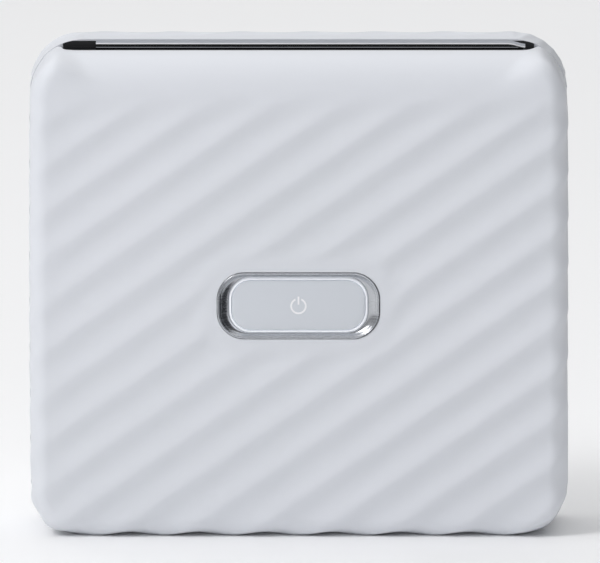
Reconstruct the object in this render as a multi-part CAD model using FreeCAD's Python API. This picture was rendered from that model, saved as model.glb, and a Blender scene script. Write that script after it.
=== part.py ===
import FreeCAD, Part
import math
import os

os.makedirs("parts", exist_ok=True)

# A portable instant photo printer for wide instant film.
# Millimetres. X is across the front, Y runs from the front to the back, Z is up.
# The centre of the base is the origin, and the front faces -Y.

V = FreeCAD.Vector

# ---- overall size ---------------------------------------------------------
WIDTH = 139.0
HEIGHT = 127.5
DEPTH = 33.7
TOP_CORNER_R = 14.0
BOTTOM_CORNER_R = 11.5
FRONT_EDGE_R = 5.0
REAR_EDGE_R = 4.0
WALL = 2.0

# ---- clearances -----------------------------------------------------------
RUN = 0.05           # radial, shaft in bearing
SLIDE = 0.30         # around a moving piece that only has to miss its neighbours
SEAT = 0.10          # around a piece glued or dropped into its seat

# ---- film and film pack ---------------------------------------------------
FILM_X = 2.8         # the film path sits right of centre, the gears sit left of it
FILM_W = 108.0
FILM_H = 86.0
FILM_Y = -0.8        # plane of the sheet that is being printed
PACK_W = FILM_W + 5.0
PACK_H = FILM_H + 8.2
PACK_T = 13.0
PACK_WALL = 1.2
PACK_FACE = 0.7      # the face of the pack that the light comes through
SHEET_T = 0.25
PACK_Y0 = -1.8
PACK_Z0 = 5.8

# ---- exit slot ------------------------------------------------------------
SPLIT_Y = 1.4        # the covers part at the rear edge of the slot
LIP_Y = -4.0
LIP_DROP = 1.9       # the front lip is lower than the rear rim
MOUTH_W = WIDTH - 17.0
THROAT_W = FILM_W + 2.1
THROAT_Y = (-3.1, 0.5)

# ---- power button ---------------------------------------------------------
BUTTON_Z = 0.475 * HEIGHT
BEZEL_W = 42.3
BEZEL_H = 17.6
BEZEL_R = 6.6
CAP_W = 34.2
CAP_H = 13.2
CAP_R = 4.8
CAP_SINK = 1.1
CAP_TRAVEL = 0.8
LIGHT_RING = 0.5

# ---- rollers and gears ----------------------------------------------------
ROLLER_R = 4.6
ROLLER_L = 112.0
HEAD_GAP = 0.8       # between the pack and the print head
HEAD_T = 5.4
ROLLER_Z = PACK_Z0 + PACK_H + HEAD_GAP + HEAD_T + 0.7 + ROLLER_R
NIP = 0.25           # half the gap between the rollers
SHAFT_R = 1.5
MODULE = 0.6
PINION_T = 10
IDLER_LARGE_T = 36
IDLER_SMALL_T = 12
ROLLER_GEAR_T = 30
GEAR_W = 2.4
MOTOR_R = 5.0
MOTOR_L = 24.0
MOTOR_Y = -9.2
MOTOR_Z = ROLLER_Z - 22.5
AXLE_R = 1.0

# ---- door -----------------------------------------------------------------
DOOR_W = 118.0
DOOR_Z0 = 5.5
DOOR_Z1 = 106.0
DOOR_T = 1.9
DOOR_R = 5.6
DOOR_LOW_R = 1.6
DOOR_GAP = 0.4
HINGE_Y = 14.4
HINGE_Z = 8.0
HINGE_R = 1.0
LATCH_TRAVEL = 3.0

# ---- levels that follow from the sizes above -----------------------------
Y_FRONT = -DEPTH / 2
Y_REAR = DEPTH / 2
Y_IN = Y_FRONT + WALL
Y_OUT = Y_REAR - WALL
LIP_Z = HEIGHT - LIP_DROP
SLOPE_R = LIP_Y - Y_FRONT
SLOPE_Z = LIP_Z - SLOPE_R
PLATE_Y = (-3.5, -2.0)
PACK_X0 = FILM_X - PACK_W / 2
PACK_X1 = FILM_X + PACK_W / 2
PACK_Y1 = PACK_Y0 + PACK_T
PACK_Z1 = PACK_Z0 + PACK_H
CHASSIS_X0 = PACK_X0 - 1.5
CHASSIS_X1 = PACK_X1 + 1.5
GEAR_PLATE_X = (CHASSIS_X0 - 2.4, CHASSIS_X0 - 1.2)
INNER_GEAR_X = (GEAR_PLATE_X[0] - 0.8 - GEAR_W, GEAR_PLATE_X[0] - 0.8)
OUTER_GEAR_X = (INNER_GEAR_X[0] - 0.5 - GEAR_W, INNER_GEAR_X[0] - 0.5)
DRIVE_Y = FILM_Y + NIP + ROLLER_R
PRESS_Y = FILM_Y - NIP - ROLLER_R


# ---- helpers --------------------------------------------------------------
def box(x, y, z):
    return Part.makeBox(x[1] - x[0], y[1] - y[0], z[1] - z[0], V(x[0], y[0], z[0]))


def rod_x(x, r, y, z):
    return Part.makeCylinder(r, x[1] - x[0], V(x[0], y, z), V(1, 0, 0))


def rod_y(y, r, x, z):
    return Part.makeCylinder(r, y[1] - y[0], V(x, y[0], z), V(0, 1, 0))


def rod_z(z, r, x, y):
    return Part.makeCylinder(r, z[1] - z[0], V(x, y, z[0]), V(0, 0, 1))


def outline(x, z, y, r_low, r_high):
    """A closed rounded rectangle in a plane that faces the front."""
    x0, x1 = x
    z0, z1 = z
    k = 1 - math.sqrt(0.5)

    def line(a, b):
        return Part.LineSegment(V(a[0], y, a[1]), V(b[0], y, b[1]))

    def arc(a, b, c):
        return Part.Arc(V(a[0], y, a[1]), V(b[0], y, b[1]), V(c[0], y, c[1]))

    a, b = r_low, r_high
    pieces = [
        line((x0 + a, z0), (x1 - a, z0)),
        arc((x1 - a, z0), (x1 - a * k, z0 + a * k), (x1, z0 + a)),
        line((x1, z0 + a), (x1, z1 - b)),
        arc((x1, z1 - b), (x1 - b * k, z1 - b * k), (x1 - b, z1)),
        line((x1 - b, z1), (x0 + b, z1)),
        arc((x0 + b, z1), (x0 + b * k, z1 - b * k), (x0, z1 - b)),
        line((x0, z1 - b), (x0, z0 + a)),
        arc((x0, z0 + a), (x0 + a * k, z0 + a * k), (x0 + a, z0)),
    ]
    return Part.Wire([p.toShape() for p in pieces])


def slab(x, y, z, r_low, r_high=None):
    """A rounded rectangle of the front plane, as thick as the y range."""
    if r_high is None:
        r_high = r_low
    face = Part.Face(outline(x, z, y[0], r_low, r_high))
    return face.extrude(V(0, y[1] - y[0], 0))


def pill(w, h, r, y, cx=0.0, cz=BUTTON_Z):
    return slab((cx - w / 2, cx + w / 2), y, (cz - h / 2, cz + h / 2), r)


def rim(shape, y, tol=0.01):
    """The edges of a slab that lie in the plane y."""
    return [e for e in shape.Edges
            if abs(e.BoundBox.YMin - y) < tol and abs(e.BoundBox.YMax - y) < tol]


def side_profile(x, points):
    """A YZ polygon pushed along X."""
    wire = Part.makePolygon([V(x[0], y, z) for y, z in points + points[:1]])
    return Part.Face(wire).extrude(V(x[1] - x[0], 0, 0))


def ribbon(x, points, thick):
    """A flat strip that follows points in the YZ plane."""
    parts = []
    for (y0, z0), (y1, z1) in zip(points, points[1:]):
        length = math.hypot(y1 - y0, z1 - z0)
        ny, nz = -(z1 - z0) / length * thick / 2, (y1 - y0) / length * thick / 2
        quad = [(y0 + ny, z0 + nz), (y1 + ny, z1 + nz), (y1 - ny, z1 - nz), (y0 - ny, z0 - nz)]
        parts.append(side_profile(x, quad))
    for y0, z0 in points[1:-1]:
        parts.append(rod_x(x, thick / 2, y0, z0))
    return fuse(parts)


def wire_run(points, r):
    """A round wire through points, with ball corners."""
    parts = []
    for a, b in zip(points, points[1:]):
        a, b = V(*a), V(*b)
        parts.append(Part.makeCylinder(r, (b - a).Length, a, b - a))
    for p in points[1:-1]:
        parts.append(Part.makeSphere(r, V(*p)))
    return fuse(parts)


def fuse(parts):
    whole = parts[0]
    if len(parts) > 1:
        whole = whole.multiFuse(parts[1:])
    return whole.removeSplitter()


def cut(shape, *tools):
    return shape.cut(list(tools))


def gear(teeth, x, y, z, phase, bore):
    """A spur gear on an axis along X; phase is where one tooth points, in degrees."""
    pitch = MODULE * teeth / 2
    tip, root = pitch + 0.85 * MODULE, pitch - 1.15 * MODULE
    step = 2 * math.pi / teeth
    widths = ((root, 0.27), (pitch, 0.19), (tip, 0.10))
    points = []
    for i in range(teeth):
        mid = math.radians(phase) + i * step
        for radius, half in widths:
            points.append((radius, mid - half * step))
        for radius, half in reversed(widths):
            points.append((radius, mid + half * step))
    flat = [(y + r * math.cos(a), z + r * math.sin(a)) for r, a in points]
    blank = side_profile(x, flat)
    return cut(blank, rod_x((x[0] - 1, x[1] + 1), bore, y, z)) if bore else blank


def coil(start, axis, length, turns, r, wire):
    """A wire spring from start, along axis."""
    helix = Part.makeHelix(length / turns, length, r)
    ring = Part.Wire(Part.makeCircle(wire, V(r, 0, 0), V(0, 1, 0.05)))
    spring = Part.Wire(helix).makePipeShell([ring], True, True)
    turn = FreeCAD.Rotation(V(0, 0, 1), axis)
    spring.Placement = FreeCAD.Placement(start, turn)
    return spring


def screw_y(x, z, seat, head, shank, tip_y):
    """A pan head screw on an axis along Y, from the seat under its head to its tip."""
    back = 1 if tip_y < seat else -1
    top_y = sorted((seat, seat + back * head[1]))
    slot_y = sorted((seat + back * head[1] * 0.5, seat + back * (head[1] + 1)))
    top = rod_y(top_y, head[0], x, z)
    slot = box((x - head[0] * 0.7, x + head[0] * 0.7), slot_y, (z - 0.2, z + 0.2))
    cross = box((x - 0.2, x + 0.2), slot_y, (z - head[0] * 0.7, z + head[0] * 0.7))
    body = fuse([top, rod_y(sorted((tip_y, seat)), shank, x, z)])
    return cut(body, slot, cross)


NODES = {}


def node(name, shape):
    if isinstance(shape, (list, tuple)):
        shape = Part.makeCompound(list(shape))
    NODES[name] = shape


# ---- outer form -----------------------------------------------------------
outer = slab((-WIDTH / 2, WIDTH / 2), (Y_FRONT, Y_REAR), (0, HEIGHT), BOTTOM_CORNER_R, TOP_CORNER_R)
outer = outer.makeFillet(FRONT_EDGE_R, rim(outer, Y_FRONT))
outer = outer.makeFillet(REAR_EDGE_R, rim(outer, Y_REAR))
hollow = slab((-WIDTH / 2 + WALL, WIDTH / 2 - WALL), (Y_IN, Y_OUT), (WALL, HEIGHT - WALL),
              BOTTOM_CORNER_R - WALL, TOP_CORNER_R - WALL)
hollow = hollow.makeFillet(FRONT_EDGE_R - WALL, rim(hollow, Y_IN))
hollow = hollow.makeFillet(REAR_EDGE_R - WALL, rim(hollow, Y_OUT))


def slope(radius, reach):
    """What lies above and in front of the rounded shoulder under the slot."""
    top = SLOPE_Z + radius
    front = LIP_Y - radius
    k = math.sqrt(0.5)
    edges = [
        Part.Arc(V(-reach, LIP_Y, top), V(-reach, LIP_Y - radius * k, SLOPE_Z + radius * k),
                 V(-reach, front, SLOPE_Z)).toShape(),
        Part.makeLine(V(-reach, front, SLOPE_Z), V(-reach, Y_FRONT - 5, SLOPE_Z)),
        Part.makeLine(V(-reach, Y_FRONT - 5, SLOPE_Z), V(-reach, Y_FRONT - 5, HEIGHT + 5)),
        Part.makeLine(V(-reach, Y_FRONT - 5, HEIGHT + 5), V(-reach, LIP_Y, HEIGHT + 5)),
        Part.makeLine(V(-reach, LIP_Y, HEIGHT + 5), V(-reach, LIP_Y, top)),
    ]
    return Part.Face(Part.Wire(edges)).extrude(V(2 * reach, 0, 0))


outer = cut(outer, slope(SLOPE_R, WIDTH))
hollow = cut(hollow, slope(SLOPE_R - WALL, WIDTH))
shell = cut(outer, hollow)
mouth = box((-MOUTH_W / 2, MOUTH_W / 2), (LIP_Y, SPLIT_Y), (LIP_Z - WALL - 1, HEIGHT + 1))
front_half = box((-WIDTH, WIDTH), (-DEPTH, SPLIT_Y), (-5, HEIGHT + 5))
rear_half = box((-WIDTH, WIDTH), (SPLIT_Y, DEPTH), (-5, HEIGHT + 5))

# ---- places that several pieces share -------------------------------------
HOUSING_SCREWS = [(sx * (WIDTH / 2 - 5.2), z) for sx in (-1, 1) for z in (38.0, 76.0)]
CHASSIS_SCREWS = [(-50.0, 53.0), (50.0, 53.0), (-24.0, 97.0), (50.0, 97.0)]
BOARD_SCREWS = [(8.0, 11.0), (8.0, 43.0), (58.5, 43.0)]
BUTTON_POSTS = [(-26.0, BUTTON_Z), (26.0, BUTTON_Z)]
BUTTON_BOARD_Y = (-9.1, -8.1)
BOARD_Y = (-6.4, -5.2)
FLAP_Y = (-11.4, -4.0)
FLAP_Z = (15.0, 33.0)
FLAP_T = 1.4
PORT_Y = -7.7
PORT_Z = 26.5
RESET_Z = 18.6
SIDE_X = WIDTH / 2

# ---- front cover ----------------------------------------------------------
cover = cut(shell.common(front_half), mouth,
            pill(BEZEL_W + 2 * SEAT, BEZEL_H + 2 * SEAT, BEZEL_R + SEAT, (Y_FRONT - 1, Y_IN + 1)))
bosses = [rod_y((Y_IN - 0.5, SPLIT_Y), 2.6, x, z) for x, z in HOUSING_SCREWS]
bosses += [rod_y((Y_IN - 0.5, PLATE_Y[0]), 2.5, x, z) for x, z in CHASSIS_SCREWS]
bosses += [rod_y((Y_IN - 0.5, BUTTON_BOARD_Y[0]), 2.0, x, z) for x, z in BUTTON_POSTS]
bosses.append(box((SIDE_X - 3.0, SIDE_X - 1.5), (FLAP_Y[0] - 1.0, FLAP_Y[1] + 1.2),
                  (FLAP_Z[0] - 1.4, FLAP_Z[1] + 1.4)))
cover = fuse([cover] + bosses)
pilots = [rod_y((-8.4, SPLIT_Y + 1), 1.17, x, z) for x, z in HOUSING_SCREWS]
pilots += [rod_y((-10.4, PLATE_Y[0] + 1), 1.02, x, z) for x, z in CHASSIS_SCREWS]
pilots += [rod_y((-13.2, BUTTON_BOARD_Y[0] + 1), 0.82, x, z) for x, z in BUTTON_POSTS]
flap_seat = box((SIDE_X - FLAP_T - 0.2, SIDE_X + 1), (FLAP_Y[0] - SLIDE, FLAP_Y[1] + SLIDE),
                (FLAP_Z[0] - SLIDE, FLAP_Z[1] + SLIDE))
port = box((SIDE_X - 4, SIDE_X), (PORT_Y - 1.6, PORT_Y + 1.6), (PORT_Z - 4.1, PORT_Z + 4.1))
reset_hole = rod_x((SIDE_X - 4, SIDE_X), 1.2, PORT_Y, RESET_Z)
node("front_cover", cut(cover, flap_seat, port, reset_hole, *pilots))

# ---- rear cover -----------------------------------------------------------
opening = slab((-DOOR_W / 2 - DOOR_GAP, DOOR_W / 2 + DOOR_GAP), (Y_OUT - 1, Y_REAR + 1),
               (DOOR_Z0 - 0.6, DOOR_Z1 + DOOR_GAP), DOOR_LOW_R, DOOR_R)
back = cut(shell.common(rear_half), opening)
ears = [box((s * (DOOR_W / 2 + 1.9) - 1.5, s * (DOOR_W / 2 + 1.9) + 1.5), (HINGE_Y - 2.2, Y_OUT + 0.5),
            (HINGE_Z - 3.2, HINGE_Z + 3.2)) for s in (-1, 1)]
posts = [rod_y((SPLIT_Y, Y_OUT + 0.5), 2.6, x, z) for x, z in HOUSING_SCREWS]
HEAD_SEAT_Y = Y_OUT - 1.35
back = fuse([back] + ears + posts)
bores = [rod_y((SPLIT_Y - 1, Y_REAR + 1), 1.25, x, z) for x, z in HOUSING_SCREWS]
bores += [rod_y((HEAD_SEAT_Y, Y_REAR + 1), 2.2, x, z) for x, z in HOUSING_SCREWS]
hinge_holes = [rod_x((s * (DOOR_W / 2 + 1.7) - 2.0, s * (DOOR_W / 2 + 1.7) + 2.0), HINGE_R + RUN,
                     HINGE_Y, HINGE_Z) for s in (-1, 1)]
node("rear_cover", cut(back, *(bores + hinge_holes)))

node("housing_screws", [screw_y(x, z, HEAD_SEAT_Y, (2.0, 1.5), 1.15, -8.0) for x, z in HOUSING_SCREWS])

# ---- power button ---------------------------------------------------------
OPEN_W = CAP_W + 2 * (SLIDE + LIGHT_RING + SEAT)
OPEN_H = CAP_H + 2 * (SLIDE + LIGHT_RING + SEAT)
OPEN_R = CAP_R + SLIDE + LIGHT_RING + SEAT
BEZEL_BACK = Y_IN + 1.1
bezel = fuse([pill(BEZEL_W, BEZEL_H, BEZEL_R, (Y_FRONT, BEZEL_BACK)),
              pill(BEZEL_W + 4, BEZEL_H + 4, BEZEL_R + 1, (Y_IN, BEZEL_BACK))])
bezel = cut(bezel, pill(OPEN_W, OPEN_H, OPEN_R, (Y_FRONT - 1, BEZEL_BACK + 1)))
dish_face = Part.Wire(outline((-BEZEL_W / 2 + 0.9, BEZEL_W / 2 - 0.9),
                              (BUTTON_Z - BEZEL_H / 2 + 0.6, BUTTON_Z + BEZEL_H / 2 - 0.6),
                              Y_FRONT - 0.01, BEZEL_R - 0.7, BEZEL_R - 0.7).Edges)
dish_floor = Part.Wire(outline((-OPEN_W / 2 - 0.1, OPEN_W / 2 + 0.1),
                               (BUTTON_Z - OPEN_H / 2 - 0.1, BUTTON_Z + OPEN_H / 2 + 0.1),
                               Y_FRONT + CAP_SINK, OPEN_R, OPEN_R).Edges)
dish = Part.makeLoft([dish_face, dish_floor], True, True)
node("button_bezel", cut(bezel, dish))

ring_w, ring_h = CAP_W + 2 * (SLIDE + LIGHT_RING), CAP_H + 2 * (SLIDE + LIGHT_RING)
RING_Y = (Y_FRONT + CAP_SINK + 0.05, BEZEL_BACK)
node("button_light_ring", cut(pill(ring_w, ring_h, CAP_R + SLIDE + LIGHT_RING, RING_Y),
                              pill(CAP_W + 2 * SLIDE, CAP_H + 2 * SLIDE, CAP_R + SLIDE,
                                   (Y_FRONT, BEZEL_BACK + 1))))

CAP_Y = Y_FRONT + CAP_SINK - 0.1
cap = pill(CAP_W, CAP_H, CAP_R, (CAP_Y, BEZEL_BACK + 0.1))
cap = cap.makeFillet(0.35, rim(cap, CAP_Y))
flange = pill(CAP_W + 3.6, CAP_H + 3.6, CAP_R + 1.6, (BEZEL_BACK + 0.1, BEZEL_BACK + 0.9))
pocket = pill(CAP_W - 3, CAP_H - 3, CAP_R - 1.5, (CAP_Y + 1.5, BEZEL_BACK + 2))
DOME_Y = (-10.9, BUTTON_BOARD_Y[0])
stem = rod_y((CAP_Y + 1.4, DOME_Y[0] - 0.1), 2.0, 0, BUTTON_Z)
node("power_button", fuse([cut(fuse([cap, flange]), pocket), stem]))

mark_z = BUTTON_Z
mark_ring = cut(rod_y((CAP_Y - 0.05, CAP_Y), 2.1, 0, mark_z), rod_y((CAP_Y - 1, CAP_Y + 1), 1.65, 0, mark_z),
                box((-0.75, 0.75), (CAP_Y - 1, CAP_Y + 1), (mark_z, mark_z + 4)))
mark_bar = box((-0.22, 0.22), (CAP_Y - 0.05, CAP_Y), (mark_z + 0.4, mark_z + 2.5))
node("power_mark", [mark_ring, mark_bar])

dome = Part.makeCone(3.0, 1.6, DOME_Y[1] - DOME_Y[0], V(0, DOME_Y[1], BUTTON_Z), V(0, -1, 0))
dome_hollow = Part.makeCone(2.4, 1.0, DOME_Y[1] - DOME_Y[0] - 0.7, V(0, DOME_Y[1], BUTTON_Z), V(0, -1, 0))
node("button_dome", cut(dome, dome_hollow))
button_plate = slab((-29, 29), BUTTON_BOARD_Y, (BUTTON_Z - 6, BUTTON_Z + 6), 1.0)
node("button_board", cut(button_plate, *[rod_y((-20, 0), 0.95, x, z) for x, z in BUTTON_POSTS]))
node("button_board_screws",
     [screw_y(x, z, BUTTON_BOARD_Y[1], (1.6, 0.9), 0.8, -13.0) for x, z in BUTTON_POSTS])

# ---- exit slot ------------------------------------------------------------
TRIM_Z = (HEIGHT - 7.5, HEIGHT - 1.5)
trim_x = (-MOUTH_W / 2 + 0.2, MOUTH_W / 2 - 0.2)
throat_x = (FILM_X - THROAT_W / 2, FILM_X + THROAT_W / 2)
trim = box(trim_x, (LIP_Y + SEAT, SPLIT_Y - SEAT), TRIM_Z)
trim = cut(trim, box(throat_x, THROAT_Y, (TRIM_Z[0] - 1, TRIM_Z[1] + 1)),
           box((trim_x[0] - 1, trim_x[1] + 1), (LIP_Y - 1, THROAT_Y[1]), (LIP_Z - 0.9, HEIGHT)))
corner = [side_cut for s in (-1, 1) for side_cut in
          [cut(box((s * (WIDTH / 2 - 3.5) - 9, s * (WIDTH / 2 - 3.5) + 9), (LIP_Y - 1, SPLIT_Y + 1), (TRIM_Z[0] - 4, HEIGHT + 1)),
               rod_y((LIP_Y - 2, SPLIT_Y + 2), TOP_CORNER_R - WALL - 0.2,
                     s * (WIDTH / 2 - TOP_CORNER_R), HEIGHT - TOP_CORNER_R))]]
gear_room = box((-WIDTH / 2, GEAR_PLATE_X[1]), (LIP_Y - 1, SPLIT_Y + 1), (TRIM_Z[0] - 1, TRIM_Z[0] + 2.2))
node("exit_slot_trim", cut(trim, gear_room, *corner))
felt = [box((throat_x[0], throat_x[1]), (FILM_Y - 2.3, FILM_Y - 0.45), (TRIM_Z[0] - 1.8, TRIM_Z[0])),
        box((throat_x[0], throat_x[1]), (FILM_Y + 0.45, FILM_Y + 1.9), (TRIM_Z[0] - 1.8, TRIM_Z[0]))]
node("exit_light_shield", felt)

# ---- port flap, socket and reset -----------------------------------------
FLAP_AXIS = (SIDE_X - 0.1 - FLAP_T / 2, FLAP_Y[1] - FLAP_T / 2)
flap = fuse([box((SIDE_X - FLAP_T - 0.1, SIDE_X - 0.1), (FLAP_Y[0], FLAP_AXIS[1]), FLAP_Z),
             rod_z(FLAP_Z, FLAP_T / 2, *FLAP_AXIS)])
grip = box((SIDE_X - 0.6, SIDE_X + 1), (FLAP_Y[0] - 1, FLAP_Y[0] + 0.8), (PORT_Z - 5.0, PORT_Z - 1.0))
node("usb_cover", cut(flap, grip))
socket = box((SIDE_X - 8.6, SIDE_X - 3.1), (BOARD_Y[0] - 2.7, BOARD_Y[0]), (PORT_Z - 3.8, PORT_Z + 3.8))
socket_well = box((SIDE_X - 8.0, SIDE_X - 3), (BOARD_Y[0] - 2.4, BOARD_Y[0] - 0.3),
                  (PORT_Z - 3.45, PORT_Z + 3.45))
tongue = box((SIDE_X - 8.3, SIDE_X - 4.0), (BOARD_Y[0] - 1.6, BOARD_Y[0] - 1.0), (PORT_Z - 2.6, PORT_Z + 2.6))
node("usb_socket", fuse([cut(socket, socket_well), tongue]))
reset_body = box((SIDE_X - 8.5, SIDE_X - 4.6), (BOARD_Y[0] - 2.6, BOARD_Y[0]), (RESET_Z - 2.0, RESET_Z + 2.0))
node("reset_switch", cut(reset_body, rod_x((SIDE_X - 5.6, SIDE_X - 4), 0.9 + RUN, PORT_Y, RESET_Z)))
node("reset_button", rod_x((SIDE_X - 5.1, SIDE_X - 1.9), 0.9, PORT_Y, RESET_Z))

# ---- chassis --------------------------------------------------------------
CH_REAR = 12.8
plate = box((CHASSIS_X0, CHASSIS_X1), PLATE_Y, (4.2, PACK_Z1 + 0.4))
left = box((CHASSIS_X0, CHASSIS_X0 + 1.2), (PLATE_Y[0], CH_REAR), (4.2, PACK_Z1 + 1.4))
right = box((CHASSIS_X1 - 1.2, CHASSIS_X1), (PLATE_Y[0], CH_REAR), (4.2, PACK_Z1 + 1.4))
floor = box((CHASSIS_X0, CHASSIS_X1), (PLATE_Y[0], 11.0), (4.2, 5.4))
roof = box((CHASSIS_X0, CHASSIS_X1), (1.0, CH_REAR), (PACK_Z1 + 0.4, PACK_Z1 + 1.4))
standoffs = [rod_y((BOARD_Y[1], PLATE_Y[0] + 0.5), 2.2, x, z) for x, z in BOARD_SCREWS]
SPACERS = [(-8.0, 97.0), (9.5, 92.0), (-0.5, 80.5)]
spacers = [rod_x((GEAR_PLATE_X[1], CHASSIS_X0 + 0.5), 1.6, y, z) for y, z in SPACERS[1:]]
chassis = fuse([plate, left, right, floor, roof] + standoffs + spacers)
CLAW_Y = (-1.2, 4.4)
CLAW_TRAVEL = 8.0
claw_slot = box((CHASSIS_X0 - 1, CHASSIS_X0 + 2), (-1.6, 0.9), (8.6, 11.0 + CLAW_TRAVEL + SLIDE))
sinks = [Part.makeCone(1.05, 2.05, 1.5, V(x, PLATE_Y[0], z), V(0, 1, 0)) for x, z in CHASSIS_SCREWS]
pins = [rod_y((PLATE_Y[0] - 3, PLATE_Y[1] + 0.0), 0.87, x, z) for x, z in BOARD_SCREWS]
hinge_room = box((-WIDTH / 2, WIDTH / 2), (11.0, CH_REAR + 1), (0, HINGE_Z + 4.0))
node("chassis", cut(chassis, claw_slot, hinge_room, *(sinks + pins)))

flat_heads = []
for x, z in CHASSIS_SCREWS:
    head = Part.makeCone(1.0, 2.0, 1.45, V(x, PLATE_Y[0], z), V(0, 1, 0))
    slot = box((x - 1.3, x + 1.3), (PLATE_Y[1] - 0.7, 0), (z - 0.2, z + 0.2))
    flat_heads.append(cut(fuse([head, rod_y((-10.0, PLATE_Y[0]), 1.0, x, z)]), slot))
node("chassis_screws", flat_heads)

# ---- film pack ------------------------------------------------------------
pack = box((PACK_X0, PACK_X1), (PACK_Y0, PACK_Y1), (PACK_Z0, PACK_Z1))
edges = [e for e in pack.Edges if e.BoundBox.YLength > PACK_T - 0.1]
pack = pack.makeFillet(2.0, edges)
inside = box((PACK_X0 + PACK_WALL, PACK_X1 - PACK_WALL), (PACK_Y0 + PACK_FACE, PACK_Y1 - PACK_WALL),
             (PACK_Z0 + PACK_WALL, PACK_Z1 - PACK_WALL))
exit_slit = box((FILM_X - FILM_W / 2 - 0.4, FILM_X + FILM_W / 2 + 0.4), (-1.3, 0.5),
                (PACK_Z1 - 2, PACK_Z1 + 1))
picture = box((FILM_X - 49.5, FILM_X + 49.5), (PACK_Y0 - 1, PACK_Y0 + 2), (24, 86))
claw_gap = box((PACK_X0 - 1, PACK_X0 + 2), (-1.6, 0.9), (8.6, 11.0 + CLAW_TRAVEL + SLIDE))
sight = [box((x - 2.0, x + 2.0), (PACK_Y1 - 2, PACK_Y1 + 1), (62, 72)) for x in (-49.0, 20.0)]
grip_rib = [box((FILM_X - 30, FILM_X + 30), (PACK_Y1 - 0.5, PACK_Y1 + 1), (z, z + 0.8)) for z in (84, 87, 90)]
node("film_pack_case", cut(pack, inside, exit_slit, picture, claw_gap, *(sight + grip_rib)))
STACK_Z = (11.2, 11.2 + FILM_H)
node("film_stack", box((FILM_X - FILM_W / 2, FILM_X + FILM_W / 2), (FILM_Y + 0.4, 3.6), STACK_Z))
node("film_next_sheet", box((FILM_X - FILM_W / 2, FILM_X + FILM_W / 2),
                            (FILM_Y - SHEET_T / 2, FILM_Y + SHEET_T / 2), (STACK_Z[0] - 0.2, STACK_Z[1] - 0.2)))
press_plate = box((FILM_X - 45, FILM_X + 45), (3.9, 4.6), (20, 88))
legs = [ribbon((FILM_X + s * 30 - 6, FILM_X + s * 30 + 6), [(4.4, 32), (9.5, 54), (4.4, 76)], 0.4)
        for s in (-1, 1)]
node("pack_spring_plate", fuse([press_plate] + legs))

# ---- rollers --------------------------------------------------------------
roller_x = (FILM_X - ROLLER_L / 2, FILM_X + ROLLER_L / 2)
RIGHT_PLATE_X = (CHASSIS_X1, CHASSIS_X1 + 1.2)


def roller(y, left_end):
    barrel = rod_x(roller_x, ROLLER_R, y, ROLLER_Z)
    return fuse([barrel, rod_x((left_end, RIGHT_PLATE_X[1] + 1.2), SHAFT_R, y, ROLLER_Z)])


node("drive_roller", roller(DRIVE_Y, INNER_GEAR_X[0]))
node("pressure_roller", roller(PRESS_Y, GEAR_PLATE_X[0] - 0.3))
bearing = box(RIGHT_PLATE_X, (PRESS_Y - 3.4, DRIVE_Y + 3.4), (ROLLER_Z - 15.5, ROLLER_Z + 4.6))
holes = [rod_x((RIGHT_PLATE_X[0] - 1, RIGHT_PLATE_X[1] + 1), SHAFT_R + RUN, y, ROLLER_Z)
         for y in (DRIVE_Y, PRESS_Y)]
node("roller_bracket", cut(bearing, *holes))

# ---- gear train -----------------------------------------------------------
r1 = MODULE * (PINION_T + IDLER_LARGE_T) / 2 + 0.05
r2 = MODULE * (IDLER_SMALL_T + ROLLER_GEAR_T) / 2 + 0.05
dy, dz = DRIVE_Y - MOTOR_Y, ROLLER_Z - MOTOR_Z
dist = math.hypot(dy, dz)
along = (r1 ** 2 - r2 ** 2 + dist ** 2) / (2 * dist)
aside = math.sqrt(max(r1 ** 2 - along ** 2, 0.0))
IDLER_Y = MOTOR_Y + along * dy / dist + aside * dz / dist
IDLER_Z = MOTOR_Z + along * dz / dist - aside * dy / dist
to_motor = math.degrees(math.atan2(MOTOR_Z - IDLER_Z, MOTOR_Y - IDLER_Y))
to_roller = math.degrees(math.atan2(ROLLER_Z - IDLER_Z, DRIVE_Y - IDLER_Y))

large = gear(IDLER_LARGE_T, OUTER_GEAR_X, IDLER_Y, IDLER_Z, to_motor, None)
small = gear(IDLER_SMALL_T, INNER_GEAR_X, IDLER_Y, IDLER_Z, to_roller, None)
hub = rod_x((OUTER_GEAR_X[1] - 0.1, INNER_GEAR_X[0] + 0.1), 2.4, IDLER_Y, IDLER_Z)
idler = fuse([large, small, hub])
node("idler_gear", cut(idler, rod_x((-80, 0), AXLE_R + RUN, IDLER_Y, IDLER_Z)))
axle = fuse([rod_x((OUTER_GEAR_X[0] - 0.4, GEAR_PLATE_X[1]), AXLE_R, IDLER_Y, IDLER_Z),
             rod_x((OUTER_GEAR_X[0] - 1.0, OUTER_GEAR_X[0] - 0.4), 1.9, IDLER_Y, IDLER_Z)])
node("idler_axle", axle)

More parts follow.
